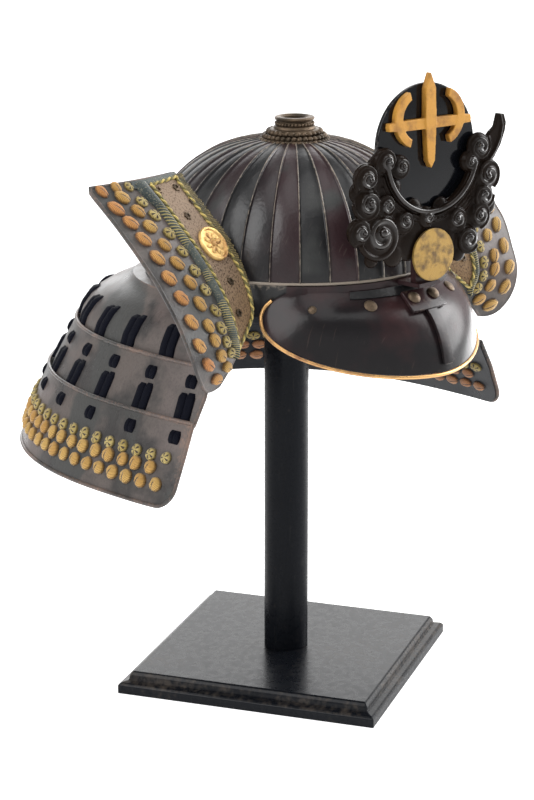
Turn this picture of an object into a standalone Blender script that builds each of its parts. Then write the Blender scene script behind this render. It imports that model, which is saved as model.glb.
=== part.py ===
# Ribbed Japanese helmet with a three-lame neck guard, turned-back wings and a carved crest,
# carried by the rounded head of a plain column on a square board.
# The helmet faces -Y, its wearer's right hand is at -X, and Z = 0 is the floor under the board.

import math

import bmesh
import bpy
from mathutils import Matrix, Vector
from mathutils.bvhtree import BVHTree

# Stand, in metres
BOARD_SIDE = 0.196              # top face of the board
FOOT_STEP = 0.010               # how far the foot reaches past the top face on each side
BOARD_HEIGHT = 0.017
BOARD_TURN = math.radians(25.2)
COLUMN_DIAMETER = 0.036
HEAD_RADIUS = 0.046             # rounded head inside the bowl
HEAD_DEPTH = 0.030

# Bowl
RIM_HEIGHT = 0.352              # bowl rim above the floor
BOWL_HALF_WIDTH = 0.112
BOWL_HALF_LENGTH = 0.120
BOWL_RISE = 0.093
BOWL_CENTRE = 0.004             # rim centre, forward of the column
CROWN_CENTRE = 0.008            # crown, forward of the column
BOWL_WALL = 0.0022
PLATES = 32
RIB_HEIGHT = 0.0016
RIB_WIDTH = 0.0022
SIDE_FULLNESS = 2.5             # exponent of the bowl's outline in plan against height
TOP_FULLNESS = 1.7
TOP_HOLE_RADIUS = 0.012

# Crown fitting
CROWN_RADIUS = 0.027
CROWN_HEIGHT = 0.020
CROWN_BORE_RADIUS = 0.0095
PETALS = 24

# Brow band and visor
BAND_DEPTH = 0.026
BAND_WALL = 0.0022
VISOR_WALL = 0.0022
VISOR_HALF_WIDTH = BOWL_HALF_WIDTH - 0.0051
VISOR_BASE = 0.0754             # forward place of the visor's two ends
VISOR_REACH = BOWL_HALF_LENGTH - 0.0277         # from the ends to the tip
VISOR_END_DROP = 0.0237         # ends under the bowl rim
VISOR_DROP = 0.0434             # from the ends to the tip
VISOR_DROP_POWER = 0.59
VISOR_FULLNESS = 1.76
VISOR_BULGE = 0.010
VISOR_STEPS = 20
VISOR_ROOT_ANGLE = math.radians(50)
VISOR_ROOT_DROP = 0.006         # visor root under the bowl rim
GILT_RIM_DIAMETER = 0.0034
VISOR_RIVET_RADIUS = 0.0052
VISOR_RIVET_TURN = 0.40         # share of the way from the middle to an end

# Crest holder
HOLDER_HALF_WIDTH = 0.017
HOLDER_WALL = 0.003
RIDGE_HALF_WIDTH = 0.0045
HOLDER_RIVET_RADIUS = 0.0052
HOLDER_RIVET_SPREAD = 0.0105
TONGUE_WIDTH = 0.022
TONGUE_THICKNESS = 0.006
TONGUE_DROP = 0.0235            # under the medallion's centre
TONGUE_RISE = 0.016

# Crest, in its own plane: across to the wearer's left, up, and out to the front
CREST_FORWARD = BOWL_CENTRE + BOWL_HALF_LENGTH + 0.0286      # centre of the medallion
CREST_RISE = 0.0205             # the same centre above the bowl rim
CREST_TURN = math.radians(9)
CREST_LEAN = math.radians(2)
DISC_RADIUS = 0.0474
DISC_RISE = 0.0812              # disc centre above the medallion
DISC_THICKNESS = 0.0040
CRESCENT_RADIUS = 0.0425
CRESCENT_RISE = 0.0768
CLOUD_THICKNESS = 0.0055
SWIRL_HEIGHT = 0.0028           # bosses stand this far in front of the clouds
HORN_STEP = 0.0010              # the horn is this much thinner on each face
MEDALLION_RADIUS = 0.0200
MEDALLION_THICKNESS = 0.0025
ORNAMENT_THICKNESS = 0.0050
ORNAMENT_RISE = 0.0175          # above the disc's centre
BAR_HALF_LENGTH = 0.040
BAR_HALF_HEIGHT = 0.004
PRONG_DROP = 0.034              # middle prong, under the bar's middle
PRONG_RISE = 0.038
PRONG_HALF_WIDTH = 0.0055
SIDE_PRONG_RADIUS = 0.022
SIDE_PRONG_THICKNESS = 0.0055
SIDE_PRONG_OUT = 0.012          # centre of its bow, beside the middle

# Neck guard
LAME_WALL = 0.0022
LAME_CENTRE = 0.008
LAME_FRONT = 0.062              # forward place of the front ends
LAME_FULLNESS = 2.39
LAME_STEPS = 38
TOP_LAME_FRONT = 0.074          # its front ends meet the wings
UPPER_LACE_TOP = 0.0340         # under the bowl rim
LOWER_LACE_TOP = 0.0760
LACE_COLUMNS = 16
LACE_WIDTH = 0.0150
LACE_THICKNESS = 0.0022
LACE_FRONT = 0.049              # forward place of the first lace
UPPER_LACE_SPREAD = 1.012       # the laces of the top lame start a little further round to the front

# Turned-back wings
WING_WALL = 0.0028
WING_SWELL = 0.004
PANEL_WALL = 0.0012
PANEL_OUTER = 0.58              # share of the way across from the outer edge
ROSETTE_PLACE = (0.575, 0.80)   # shares along and across the wing
ROSETTE_RADIUS = 0.0140
ROSETTE_THICKNESS = 0.0030

GAP = 0.0003                    # clearance between pieces that touch

CLOUD_FRONT = -MEDALLION_THICKNESS - GAP            # the medallion lies on the clouds
CLOUD_BACK = CLOUD_FRONT - CLOUD_THICKNESS
DISC_FRONT = CLOUD_BACK - GAP

# Outer faces of the lames: height under the bowl rim, how far their half width and half length
# go beyond the bowl's, and how far the front end steps back from the lame's foremost place
TOP_LAME = [
    (0.0160, 0.0029, 0.0072, 0.015),
    (0.0210, 0.0060, 0.0140, 0.010),
    (0.0290, 0.0165, 0.0335, 0.0),
    (0.0380, 0.0255, 0.0485, 0.0),
    (0.0490, 0.0320, 0.0565, 0.0),
    (0.0620, 0.0360, 0.0605, 0.003),
    (0.0700, 0.0380, 0.0625, 0.014),
]
MIDDLE_LAME = [
    (0.0575, 0.0375, 0.0615, 0.0),
    (0.0770, 0.0480, 0.0710, -0.003),
    (0.0970, 0.0585, 0.0802, -0.002),
    (0.1070, 0.0630, 0.0830, 0.008),
]
BOTTOM_LAME = [
    (0.0950, 0.0602, 0.0824, -0.003),
    (0.1180, 0.0720, 0.0905, -0.005),
    (0.1380, 0.0806, 0.0954, -0.005),
    (0.1490, 0.0852, 0.0979, 0.001),
    (0.1544, 0.0873, 0.0991, 0.013),
]

# Wing edges from the lower tip to the top: forward, out beyond the bowl's side, height under the
# bowl rim
WING_OUTER = [
    (0.0750, 0.0490, 0.0760),
    (0.0850, 0.0680, 0.0550),
    (0.0850, 0.0770, 0.0340),
    (0.0760, 0.0800, 0.0130),
    (0.0650, 0.0830, -0.0060),
    (0.0520, 0.0840, -0.0210),
    (0.0260, 0.0910, -0.0520),
    (0.0000, 0.0980, -0.0790),
]
WING_INNER = [
    (0.0690, -0.0010, 0.0230),
    (0.0660, -0.0030, 0.0085),
    (0.0560, -0.0060, -0.0070),
    (0.0440, -0.0040, -0.0235),
    (0.0340, 0.0000, -0.0380),
    (0.0240, 0.0050, -0.0513),
    (0.0130, 0.0105, -0.0667),
    (0.0020, 0.0130, -0.0795),
]

# Swirls of the cloud carving: across, up, radius
SWIRLS = [
    (-0.0435, 0.0749, 0.0100),
    (-0.0300, 0.0690, 0.0095),
    (-0.0620, 0.0640, 0.0115),
    (-0.0615, 0.0445, 0.0130),
    (-0.0440, 0.0420, 0.0095),
    (-0.0500, 0.0200, 0.0190),
    (-0.0690, 0.0250, 0.0110),
    (-0.0268, 0.0280, 0.0095),
    (-0.0050, 0.0290, 0.0080),
    (0.0249, 0.0240, 0.0100),
    (0.0360, 0.0070, 0.0115),
    (0.0480, 0.0240, 0.0105),
    (0.0520, 0.0385, 0.0110),
    (0.0560, 0.0545, 0.0125),
    (0.0480, 0.0765, 0.0110),
    (0.0385, 0.0660, 0.0085),
]

# Edge of the cloud band, seen from the disc's centre: angle in degrees, radius
CLOUD_EDGE = [
    (176, 0.0480), (185, 0.0580), (197, 0.0680), (207, 0.0780), (214, 0.0870), (223, 0.0930),
    (234, 0.0910), (244, 0.0880), (257, 0.0840), (270, 0.0850), (286, 0.0870), (296, 0.0860),
    (303, 0.0820), (309, 0.0780), (318, 0.0760), (326, 0.0730), (334, 0.0710), (341, 0.0660),
    (348, 0.0560),
]

# Flame-like horn at the wearer's left end of the clouds: across, up
HORN = [
    (0.0560, 0.0600), (0.0640, 0.0665), (0.0705, 0.0755), (0.0750, 0.0860), (0.0760, 0.0920),
    (0.0738, 0.0986), (0.0675, 0.0998), (0.0645, 0.0900), (0.0590, 0.0860), (0.0540, 0.0800),
]

for old in list(bpy.data.objects):
    bpy.data.objects.remove(old, do_unlink=True)


def collection(name):
    made = bpy.data.collections.new(name)
    bpy.context.scene.collection.children.link(made)
    return made


HELMET = collection("kabuto_on_stand")
CUTTERS = collection("cutters")


def material(name, colour, roughness, metallic=0.0):
    made = bpy.data.materials.new(name)
    made.use_nodes = True
    shader = made.node_tree.nodes["Principled BSDF"]
    shader.inputs["Base Color"].default_value = (*colour, 1.0)
    shader.inputs["Roughness"].default_value = roughness
    shader.inputs["Metallic"].default_value = metallic
    return made


BLACK_WOOD = material("black_wood", (0.015, 0.015, 0.016), 0.45)
LACQUER = material("black_brown_lacquer", (0.035, 0.026, 0.026), 0.32, 0.3)
RUSSET = material("russet_iron", (0.075, 0.060, 0.056), 0.5, 0.4)
BRONZE = material("old_bronze", (0.11, 0.085, 0.055), 0.5, 0.8)
GILT = material("gilt", (0.72, 0.42, 0.13), 0.35, 0.9)
OLD_GOLD = material("old_gold", (0.52, 0.38, 0.13), 0.45, 0.8)
CARVED = material("carved_wood", (0.022, 0.016, 0.013), 0.4)
GLOSS = material("gloss_black", (0.008, 0.008, 0.010), 0.12)
SILK = material("navy_silk", (0.008, 0.010, 0.022), 0.75)
LEATHER = material("printed_leather", (0.36, 0.26, 0.17), 0.8)


def add(name, mesh, finish, group=HELMET):
    made = bpy.data.objects.new(name, mesh)
    group.objects.link(made)
    if finish:
        mesh.materials.append(finish)
    return made


def grid_mesh(name, rows, wrap=False, cap=False):
    """Skin a list of rows of points; wrap joins each row's ends, cap closes the first and last row"""
    shape = bmesh.new()
    made = [[shape.verts.new(point) for point in row] for row in rows]
    count = len(rows[0])
    for low, high in zip(made[:-1], made[1:]):
        for i in range(count if wrap else count - 1):
            j = (i + 1) % count
            shape.faces.new((low[i], low[j], high[j], high[i]))
    if cap:
        shape.faces.new(reversed(made[0]))
        shape.faces.new(made[-1])
        bmesh.ops.recalc_face_normals(shape, faces=shape.faces)
    mesh = bpy.data.meshes.new(name)
    shape.to_mesh(mesh)
    shape.free()
    return mesh


def wall(piece, thickness, offset=-1.0):
    solid = piece.modifiers.new("wall", "SOLIDIFY")
    solid.thickness = thickness
    solid.offset = offset
    solid.use_even_offset = True
    return solid


def smooth(piece, angle=40):
    piece.data.shade_smooth()
    piece.data.set_sharp_from_angle(angle=math.radians(angle))


def place(forward, side, height):
    """Helmet place to world place: side is to the wearer's right"""
    return Vector((-side, -forward, height))


def signed_power(value, power):
    return math.copysign(abs(value) ** power, value)


def ring_point(angle, half_width, half_length, centre, fullness, height):
    """Point of a level ring: angle 0 is the front, 90 degrees the wearer's right"""
    power = 2 / fullness
    forward = centre + half_length * signed_power(math.cos(angle), power)
    side = half_width * signed_power(math.sin(angle), power)
    return place(forward, side, height)


def make_stand():
    half = BOARD_SIDE / 2
    profile = [
        (half + FOOT_STEP - 0.001, 0.0),
        (half + FOOT_STEP, 0.001),
        (half + FOOT_STEP, BOARD_HEIGHT * 0.42),
        (half + FOOT_STEP * 0.8, BOARD_HEIGHT * 0.52),
        (half + FOOT_STEP * 0.35, BOARD_HEIGHT * 0.58),
        (half + FOOT_STEP * 0.25, BOARD_HEIGHT * 0.80),
        (half, BOARD_HEIGHT - 0.0008),
        (half - 0.001, BOARD_HEIGHT),
    ]
    corners = [(1, 1), (-1, 1), (-1, -1), (1, -1)]
    rows = [[Vector((x * reach, y * reach, z)) for x, y in corners] for reach, z in profile]
    turn = Matrix.Rotation(BOARD_TURN, 3, "Z")
    rows = [[turn @ point for point in row] for row in rows]
    add("stand_board", grid_mesh("stand_board", rows, wrap=True, cap=True), BLACK_WOOD)

    sides = 28
    radius = COLUMN_DIAMETER / 2
    top = bowl_row_height(HEAD_RADIUS)
    neck = top - HEAD_DEPTH

    def ring(reach, centre, height):
        return [place(centre + reach * math.cos(2 * math.pi * i / sides),
                      -reach * math.sin(2 * math.pi * i / sides), height) for i in range(sides)]

    rows = [ring(radius, 0, BOARD_HEIGHT + GAP), ring(radius, 0, neck)]
    for share in (0.0, 0.35, 0.7, 1.0):
        swell = math.sin(share * math.pi / 2)
        reach = radius + (HEAD_RADIUS - 0.004 - radius) * (0.35 + 0.65 * swell)
        rows.append(ring(reach, CROWN_CENTRE * 0.75, neck + HEAD_DEPTH * 0.75 * share + 0.004))
    for share in (1.0, 0.8, 0.55, 0.3):
        reach = HEAD_RADIUS * share
        rows.append(ring(reach, CROWN_CENTRE * 0.85, bowl_row_height(reach) - BOWL_WALL - GAP * 2))
    column = add("stand_column", grid_mesh("stand_column", rows, wrap=True, cap=True), BLACK_WOOD)
    smooth(column)


def bowl_row_height(reach):
    """Height of the bowl's plates at a reach from the crown, taken across the helmet"""
    cosine = min(1.0, reach / BOWL_HALF_WIDTH) ** (SIDE_FULLNESS / 2)
    sine = math.sqrt(max(0.0, 1 - cosine * cosine))
    return RIM_HEIGHT + BOWL_RISE * sine ** (2 / TOP_FULLNESS)


def bowl_point(angle, reach_share, lift):
    """Outer face of the bowl: reach_share 1 is the rim"""
    cosine = reach_share ** (SIDE_FULLNESS / 2)
    sine = math.sqrt(max(0.0, 1 - cosine * cosine))
    height = RIM_HEIGHT + BOWL_RISE * sine ** (2 / TOP_FULLNESS)
    centre = BOWL_CENTRE + (CROWN_CENTRE - BOWL_CENTRE) * (1 - reach_share)
    forward = centre + BOWL_HALF_LENGTH * reach_share * math.cos(angle)
    side = BOWL_HALF_WIDTH * reach_share * math.sin(angle)
    outward = Vector((-side, -(forward - centre), 0)).normalized()
    tip = Vector((0, 0, 1))
    normal = (outward * cosine + tip * sine).normalized()
    return place(forward, side, height) + normal * lift


def make_bowl():
    shares = [TOP_HOLE_RADIUS / BOWL_HALF_WIDTH, 0.26, 0.42, 0.64, 0.83, 0.95, 0.994, 1.0]
    rows = []
    for share in shares:
        row = []
        for plate in range(PLATES):
            middle = 2 * math.pi * plate / PLATES
            half_rib = min(RIB_WIDTH / 2 / (BOWL_HALF_WIDTH * share), math.pi / PLATES * 0.4)
            height = RIB_HEIGHT if share > 0.2 else RIB_HEIGHT * 0.4
            for step, lift in ((-half_rib, 0.0), (0.0, height), (half_rib, 0.0)):
                row.append(bowl_point(middle + step, share, lift))
        rows.append(row)
    bowl = add("bowl", grid_mesh("bowl", rows, wrap=True), LACQUER)
    wall(bowl, BOWL_WALL)


def turned(name, profile, centre, finish, sides=32, wobble=0.0, lobes=0):
    """Loft of level rings round the crown's axis; wobble gives a petalled outline"""
    rows = []
    for reach, height, petal in profile:
        row = []
        for i in range(sides):
            angle = 2 * math.pi * i / sides
            size = reach * (1 + wobble * petal * math.cos(lobes * angle))
            row.append(place(centre + size * math.cos(angle), -size * math.sin(angle), height))
        rows.append(row)
    rows.append(rows[0])
    mesh = grid_mesh(name, rows, wrap=True)
    shape = bmesh.new()
    shape.from_mesh(mesh)
    bmesh.ops.remove_doubles(shape, verts=shape.verts, dist=0.00001)
    bmesh.ops.recalc_face_normals(shape, faces=shape.faces)
    shape.to_mesh(mesh)
    shape.free()
    return add(name, mesh, finish)


def make_crown():
    seat = bowl_row_height(CROWN_RADIUS) + RIB_HEIGHT + GAP
    centre = CROWN_CENTRE
    step = CROWN_HEIGHT / 4
    low = seat
    petals = [
        (CROWN_RADIUS * 0.55, low + 0.0012, 0), (CROWN_RADIUS * 0.94, low, 1),
        (CROWN_RADIUS, low + step * 0.45, 1), (CROWN_RADIUS * 0.93, low + step * 0.95, 1),
        (CROWN_RADIUS * 0.55, low + step, 0),
    ]
    turned("crown_petals", petals, centre, BRONZE, sides=48, wobble=0.035, lobes=PETALS)
    low += step + GAP
    beads = [
        (CROWN_RADIUS * 0.45, low, 0), (CROWN_RADIUS * 0.78, low, 1),
        (CROWN_RADIUS * 0.82, low + step * 0.5, 1), (CROWN_RADIUS * 0.74, low + step, 1),
        (CROWN_RADIUS * 0.45, low + step, 0),
    ]
    turned("crown_beads", beads, centre, BRONZE, sides=40, wobble=0.03, lobes=20)
    low += step + GAP
    high = seat + CROWN_HEIGHT
    collar = [
        (CROWN_BORE_RADIUS, low, 0), (CROWN_RADIUS * 0.60, low, 0),
        (CROWN_RADIUS * 0.52, low + 0.0025, 0), (CROWN_RADIUS * 0.50, high - 0.0030, 0),
        (CROWN_RADIUS * 0.58, high - 0.0015, 0), (CROWN_RADIUS * 0.54, high, 0),
        (CROWN_BORE_RADIUS, high - 0.0005, 0),
    ]
    smooth(turned("crown_collar", collar, centre, BRONZE, sides=24))


def make_brow_band():
    top = RIM_HEIGHT - GAP
    sides = 48
    rows = []
    for height in (top, top - BAND_DEPTH):
        rows.append([place(BOWL_CENTRE + BOWL_HALF_LENGTH * math.cos(2 * math.pi * i / sides),
                           BOWL_HALF_WIDTH * math.sin(2 * math.pi * i / sides), height)
                     for i in range(sides)])
    band = add("brow_band", grid_mesh("brow_band", rows, wrap=True), LACQUER)
    wall(band, BAND_WALL)
    smooth(band)


def visor_root(turn):
    """Point of the visor's root on the brow band; turn runs from -1 to 1"""
    angle = turn * VISOR_ROOT_ANGLE
    reach = GAP + VISOR_WALL
    return place(BOWL_CENTRE + (BOWL_HALF_LENGTH + reach) * math.cos(angle),
                 (BOWL_HALF_WIDTH + reach) * math.sin(angle), RIM_HEIGHT - VISOR_ROOT_DROP)


def visor_edge(turn):
    angle = turn * math.pi / 2
    power = 2 / VISOR_FULLNESS
    cosine = max(0.0, math.cos(angle))
    forward = VISOR_BASE + VISOR_REACH * cosine ** power
    side = VISOR_HALF_WIDTH * signed_power(math.sin(angle), power)
    return place(forward, side, RIM_HEIGHT - VISOR_END_DROP - VISOR_DROP * cosine ** VISOR_DROP_POWER)


def visor_point(turn, share, lift=0.0):
    """share 0 is the root and 1 the gilt edge; the ends are rounded towards the back"""
    root = visor_root(turn)
    edge = visor_edge(turn)
    point = root.lerp(edge, share)
    down = (edge - root).normalized()
    along = (visor_edge(min(1, turn + 0.02)) - visor_edge(max(-1, turn - 0.02))).normalized()
    outward = along.cross(down).normalized()
    if outward.y > 0:
        outward.negate()
    swell = math.sin(math.pi * share)
    point += outward * (VISOR_BULGE * swell * (1 - abs(turn) ** 3) + lift)
    point += Vector((0, 0.006 * swell * abs(turn) ** 8, 0))
    return point


def make_visor():
    turns = [math.sin((i / VISOR_STEPS * 2 - 1) * math.pi / 2) for i in range(VISOR_STEPS + 1)]
    shares = [0.0, 0.1, 0.2, 0.36, 0.5, 0.65, 0.8, 0.93, 1.0]
    rows = [[visor_root(turn) + Vector((0, 0, VISOR_ROOT_DROP - 0.001)) for turn in turns]]
    rows += [[visor_point(turn, share) for turn in turns] for share in shares]
    visor = add("visor", grid_mesh("visor", rows), LACQUER)
    wall(visor, VISOR_WALL)
    smooth(visor)

    radius = GILT_RIM_DIAMETER / 2
    line = []
    for turn in turns:
        edge = visor_edge(turn)
        out = (edge - visor_point(turn, 0.93)).normalized()
        line.append(edge + out * (radius + GAP * 3))
    curve = bpy.data.curves.new("visor_rim", "CURVE")
    curve.dimensions = "3D"
    curve.bevel_depth = radius
    curve.bevel_resolution = 1
    curve.use_fill_caps = True
    spline = curve.splines.new("POLY")
    spline.points.add(len(line) - 1)
    for point, at in zip(spline.points, line):
        point.co = (*at, 1.0)
    curve.materials.append(GILT)
    rim = bpy.data.objects.new("visor_rim", curve)
    HELMET.objects.link(rim)


def dome(name, radius, rise, at, normal, finish, sides=12):
    """Domed rivet with a flat seat at a place, looking along normal"""
    rows = []
    for reach, height in ((radius, 0.0), (radius * 0.92, rise * 0.55), (radius * 0.6, rise * 0.9),
                          (radius * 0.25, rise)):
        rows.append([Vector((reach * math.cos(2 * math.pi * i / sides),
                             reach * math.sin(2 * math.pi * i / sides), height)) for i in range(sides)])
    made = add(name, grid_mesh(name, rows, wrap=True, cap=True), finish)
    turn = Vector((0, 0, 1)).rotation_difference(normal)
    made.data.transform(Matrix.Translation(at) @ turn.to_matrix().to_4x4())
    return made


def visor_frame(turn, share, lift):
    """Place on the visor's outer face and the way it looks there"""
    across = visor_point(turn + 0.01, share) - visor_point(turn - 0.01, share)
    down = visor_point(turn, share + 0.01) - visor_point(turn, share - 0.01)
    normal = across.cross(down).normalized()
    return visor_point(turn, share) + normal * lift, normal


def make_visor_fittings():
    for side, turn in (("right", VISOR_RIVET_TURN), ("left", -VISOR_RIVET_TURN)):
        at, normal = visor_frame(turn, 0.22, GAP * 2)
        smooth(dome(f"visor_rivet_{side}", VISOR_RIVET_RADIUS, 0.0016, at, normal, BRONZE), 60)

    wide = HOLDER_HALF_WIDTH / BOWL_HALF_WIDTH
    narrow = RIDGE_HALF_WIDTH / BOWL_HALF_WIDTH
    rows = []
    for share, half in ((0.1, wide), (0.2, wide), (0.36, wide), (0.375, narrow), (0.5, narrow),
                        (0.65, narrow), (0.8, narrow), (0.93, narrow)):
        rows.append([visor_frame(half * step, share, GAP * 2.5 + HOLDER_WALL)[0]
                     for step in (-1, -0.5, 0, 0.5, 1)])
    plate = add("holder_plate", grid_mesh("holder_plate", rows), LACQUER)
    wall(plate, HOLDER_WALL)
    for side, sign in (("right", 1), ("left", -1)):
        turn = sign * HOLDER_RIVET_SPREAD / BOWL_HALF_WIDTH
        at, normal = visor_frame(turn, 0.22, GAP * 4 + HOLDER_WALL)
        rivet = dome(f"holder_rivet_{side}", HOLDER_RIVET_RADIUS, 0.0034, at, normal, BRONZE)
        smooth(rivet, 60)


def crest_matrix():
    """From the crest's own plane (across, up, out) to the world"""
    level = Vector((-math.sin(CREST_TURN), -math.cos(CREST_TURN), 0))
    rise = Vector((0, 0, 1))
    out = level * math.cos(CREST_LEAN) + rise * math.sin(CREST_LEAN)
    up = rise * math.cos(CREST_LEAN) - level * math.sin(CREST_LEAN)
    across = up.cross(out)
    matrix = Matrix((across, up, out)).transposed().to_4x4()
    matrix.translation = (0, -CREST_FORWARD, RIM_HEIGHT + CREST_RISE)
    return matrix


def slab(name, outline, back, front, finish, group=HELMET):
    """Flat piece of the crest: an outline in the crest's plane, from its back to its front"""
    rows = [[Vector((x, y, depth)) for x, y in outline] for depth in (back, front)]
    return add(name, grid_mesh(name, rows, wrap=True, cap=True), finish, group)


def arc(centre_x, centre_y, radius, start, end, steps):
    points = []
    for i in range(steps + 1):
        angle = math.radians(start + (end - start) * i / steps)
        points.append((centre_x + radius * math.cos(angle), centre_y + radius * math.sin(angle)))
    return points


def fuse(piece, others):
    """Union with EXACT Boolean modifiers, applied so that the helpers can go"""
    for other in others:
        join = piece.modifiers.new("fuse", "BOOLEAN")
        join.operation = "UNION"
        join.solver = "EXACT"
        join.object = other
    result = bpy.data.meshes.new_from_object(piece.evaluated_get(bpy.context.evaluated_depsgraph_get()))
    piece.modifiers.clear()
    piece.data = result
    for other in others:
        bpy.data.objects.remove(other, do_unlink=True)


def make_clouds():
    inner = arc(0, CRESCENT_RISE, CRESCENT_RADIUS, CLOUD_EDGE[-1][0], CLOUD_EDGE[0][0], 20)
    outer = []
    for angle, reach in CLOUD_EDGE:
        turn = math.radians(angle)
        outer.append((reach * math.cos(turn), DISC_RISE + reach * math.sin(turn)))
    clouds = slab("crest_clouds", outer + inner, CLOUD_BACK, CLOUD_FRONT, CARVED)
    bosses = []
    for number, (across, up, radius) in enumerate(SWIRLS):
        back = CLOUD_BACK + CLOUD_THICKNESS * (0.2 + 0.1 * (number % 3))
        rows = []
        for share, depth in ((1.0, back), (1.0, CLOUD_FRONT), (0.72, CLOUD_FRONT + SWIRL_HEIGHT)):
            rows.append([Vector((x, y, depth)) for x, y in arc(across, up, radius * share, 0, 360 * 11 / 12, 11)])
        bosses.append(add("boss", grid_mesh("boss", rows, wrap=True, cap=True), None, CUTTERS))
    bosses.append(slab("horn", HORN, CLOUD_BACK + HORN_STEP, CLOUD_FRONT - HORN_STEP, None, CUTTERS))
    fuse(clouds, bosses)
    return clouds


def make_ornament():
    """Gilt ornament of three upright prongs on a bar, a plain generic form"""
    back = DISC_FRONT + GAP
    front = back + ORNAMENT_THICKNESS
    middle = DISC_RISE + ORNAMENT_RISE
    low, high = middle - BAR_HALF_HEIGHT, middle + BAR_HALF_HEIGHT
    half = BAR_HALF_LENGTH
    bar = slab("crest_ornament", [(-half, low), (half, low), (half, high), (-half, high)], back, front, GILT)
    thick = PRONG_HALF_WIDTH
    prong = [(-thick * 0.64, middle - PRONG_DROP * 0.82), (0.0, middle - PRONG_DROP),
             (thick * 0.64, middle - PRONG_DROP * 0.82), (thick, middle),
             (thick * 0.91, middle + PRONG_RISE * 0.68), (0.0, middle + PRONG_RISE),
             (-thick * 0.91, middle + PRONG_RISE * 0.68), (-thick, middle)]
    parts = [slab("prong", prong, back + GAP, front + GAP * 2, None, CUTTERS)]
    for sign in (1, -1):
        curve = arc(SIDE_PRONG_OUT, high, SIDE_PRONG_RADIUS, -70, 70, 8)
        curve += arc(SIDE_PRONG_OUT * 0.83, high, SIDE_PRONG_RADIUS - SIDE_PRONG_THICKNESS, 62, -62, 8)
        curve = [(sign * x, y) for x, y in curve]
        if sign < 0:
            curve.reverse()
        parts.append(slab("side_prong", curve, back + GAP * 0.7, front + GAP, None, CUTTERS))
    fuse(bar, parts)
    return bar


def make_crest():
    matrix = crest_matrix()
    made = [make_clouds(), make_ornament()]
    disc = slab("crest_disc", arc(0, DISC_RISE, DISC_RADIUS, 0, 360 * 39 / 40, 39),
                DISC_FRONT - DISC_THICKNESS, DISC_FRONT, GLOSS)
    made.append(disc)
    rows = []
    for reach, depth in ((0.97, -MEDALLION_THICKNESS), (1.0, -MEDALLION_THICKNESS * 0.75),
                         (1.0, -MEDALLION_THICKNESS * 0.25), (0.97, 0.0)):
        rows.append([Vector((x, y, depth)) for x, y in arc(0, 0, MEDALLION_RADIUS * reach, 0, 360 * 27 / 28, 27)])
    made.append(add("crest_medallion", grid_mesh("crest_medallion", rows, wrap=True, cap=True), OLD_GOLD))

    half = TONGUE_WIDTH / 2
    front = CLOUD_BACK - GAP
    tongue = slab("crest_holder", [(-half, -TONGUE_DROP), (half, -TONGUE_DROP), (half, TONGUE_RISE),
                                   (-half, TONGUE_RISE)], front - TONGUE_THICKNESS, front, LACQUER)
    made.append(tongue)
    for piece in made:
        piece.data.transform(matrix)
    shelf_back = BOWL_CENTRE + BOWL_HALF_LENGTH + VISOR_WALL + GAP * 3
    shelf_front = CREST_FORWARD + front - TONGUE_THICKNESS / 2 + 0.008
    top = RIM_HEIGHT - 0.0012
    corners = [(shelf_back, -half - 0.001), (shelf_front, -half - 0.001), (shelf_front, half + 0.001),
               (shelf_back, half + 0.001)]
    rows = [[place(forward, side, height) for forward, side in corners] for height in (top - 0.003, top)]
    shelf = add("shelf", grid_mesh("shelf", rows, wrap=True, cap=True), None, CUTTERS)
    fuse(tongue, [shelf])


def wing_point(share, across, lift=0.0, sign=1):
    """Front face of a wing: share runs from the lower tip to the top, across from outer to inner"""
    place_on = share * (len(WING_OUTER) - 1)
    index = min(int(place_on), len(WING_OUTER) - 2)
    part = place_on - index

    def edge(table):
        before = Vector(table[max(index - 1, 0)])
        start = Vector(table[index])
        end = Vector(table[index + 1])
        after = Vector(table[min(index + 2, len(table) - 1)])
        bend = (end * 4 + start * 4 - before - after) / 6
        return start.lerp(end, part) + (bend - (start + end) / 2) * (4 * part * (1 - part)) * 0.5

    point = edge(WING_OUTER).lerp(edge(WING_INNER), across)
    swell = WING_SWELL * math.sin(math.pi * across)
    return place(point.x + swell + lift, sign * (BOWL_HALF_WIDTH + point.y), RIM_HEIGHT - point.z)


def wing_normal(share, across, sign):
    step = 0.01
    low, high = max(share - step, 0), min(share + step, 1)
    left, right = max(across - step, 0), min(across + step, 1)
    up = wing_point(high, across, 0, sign) - wing_point(low, across, 0, sign)
    inward = wing_point(share, right, 0, sign) - wing_point(share, left, 0, sign)
    normal = up.cross(inward).normalized()
    return -normal if normal.y > 0 else normal


def wing_grid(shares, acrosses, lift, sign):
    rows = []
    for share in shares:
        row = [wing_point(share, across, 0, sign) + wing_normal(share, across, sign) * lift
               for across in acrosses]
        rows.append(row if sign > 0 else row[::-1])
    return rows


def spread(start, end, steps):
    return [start + (end - start) * i / steps for i in range(steps + 1)]


def make_wings():
    for side, sign in (("right", 1), ("left", -1)):
        rows = wing_grid(spread(0, 1, 14), spread(0, 1, 6), 0, sign)
        wing = add(f"turnback_{side}", grid_mesh(f"turnback_{side}", rows), RUSSET)
        wall(wing, WING_WALL)
        smooth(wing)
        rows = wing_grid(spread(0.07, 0.965, 12), spread(PANEL_OUTER, 0.965, 3), GAP + PANEL_WALL, sign)
        panel = add(f"leather_panel_{side}", grid_mesh(f"leather_panel_{side}", rows), LEATHER)
        wall(panel, PANEL_WALL)
        smooth(panel)
        share, across = ROSETTE_PLACE
        normal = wing_normal(share, across, sign)
        at = wing_point(share, across, 0, sign) + normal * (PANEL_WALL + GAP * 4)
        rosette = dome(f"rosette_{side}", ROSETTE_RADIUS, ROSETTE_THICKNESS, at, normal, OLD_GOLD, sides=20)
        smooth(rosette, 60)


def end_angle(half_length, forward):
    """Angle where a lame's ring reaches a forward place"""
    return math.acos(((forward - LAME_CENTRE) / half_length) ** (LAME_FULLNESS / 2))


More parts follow.
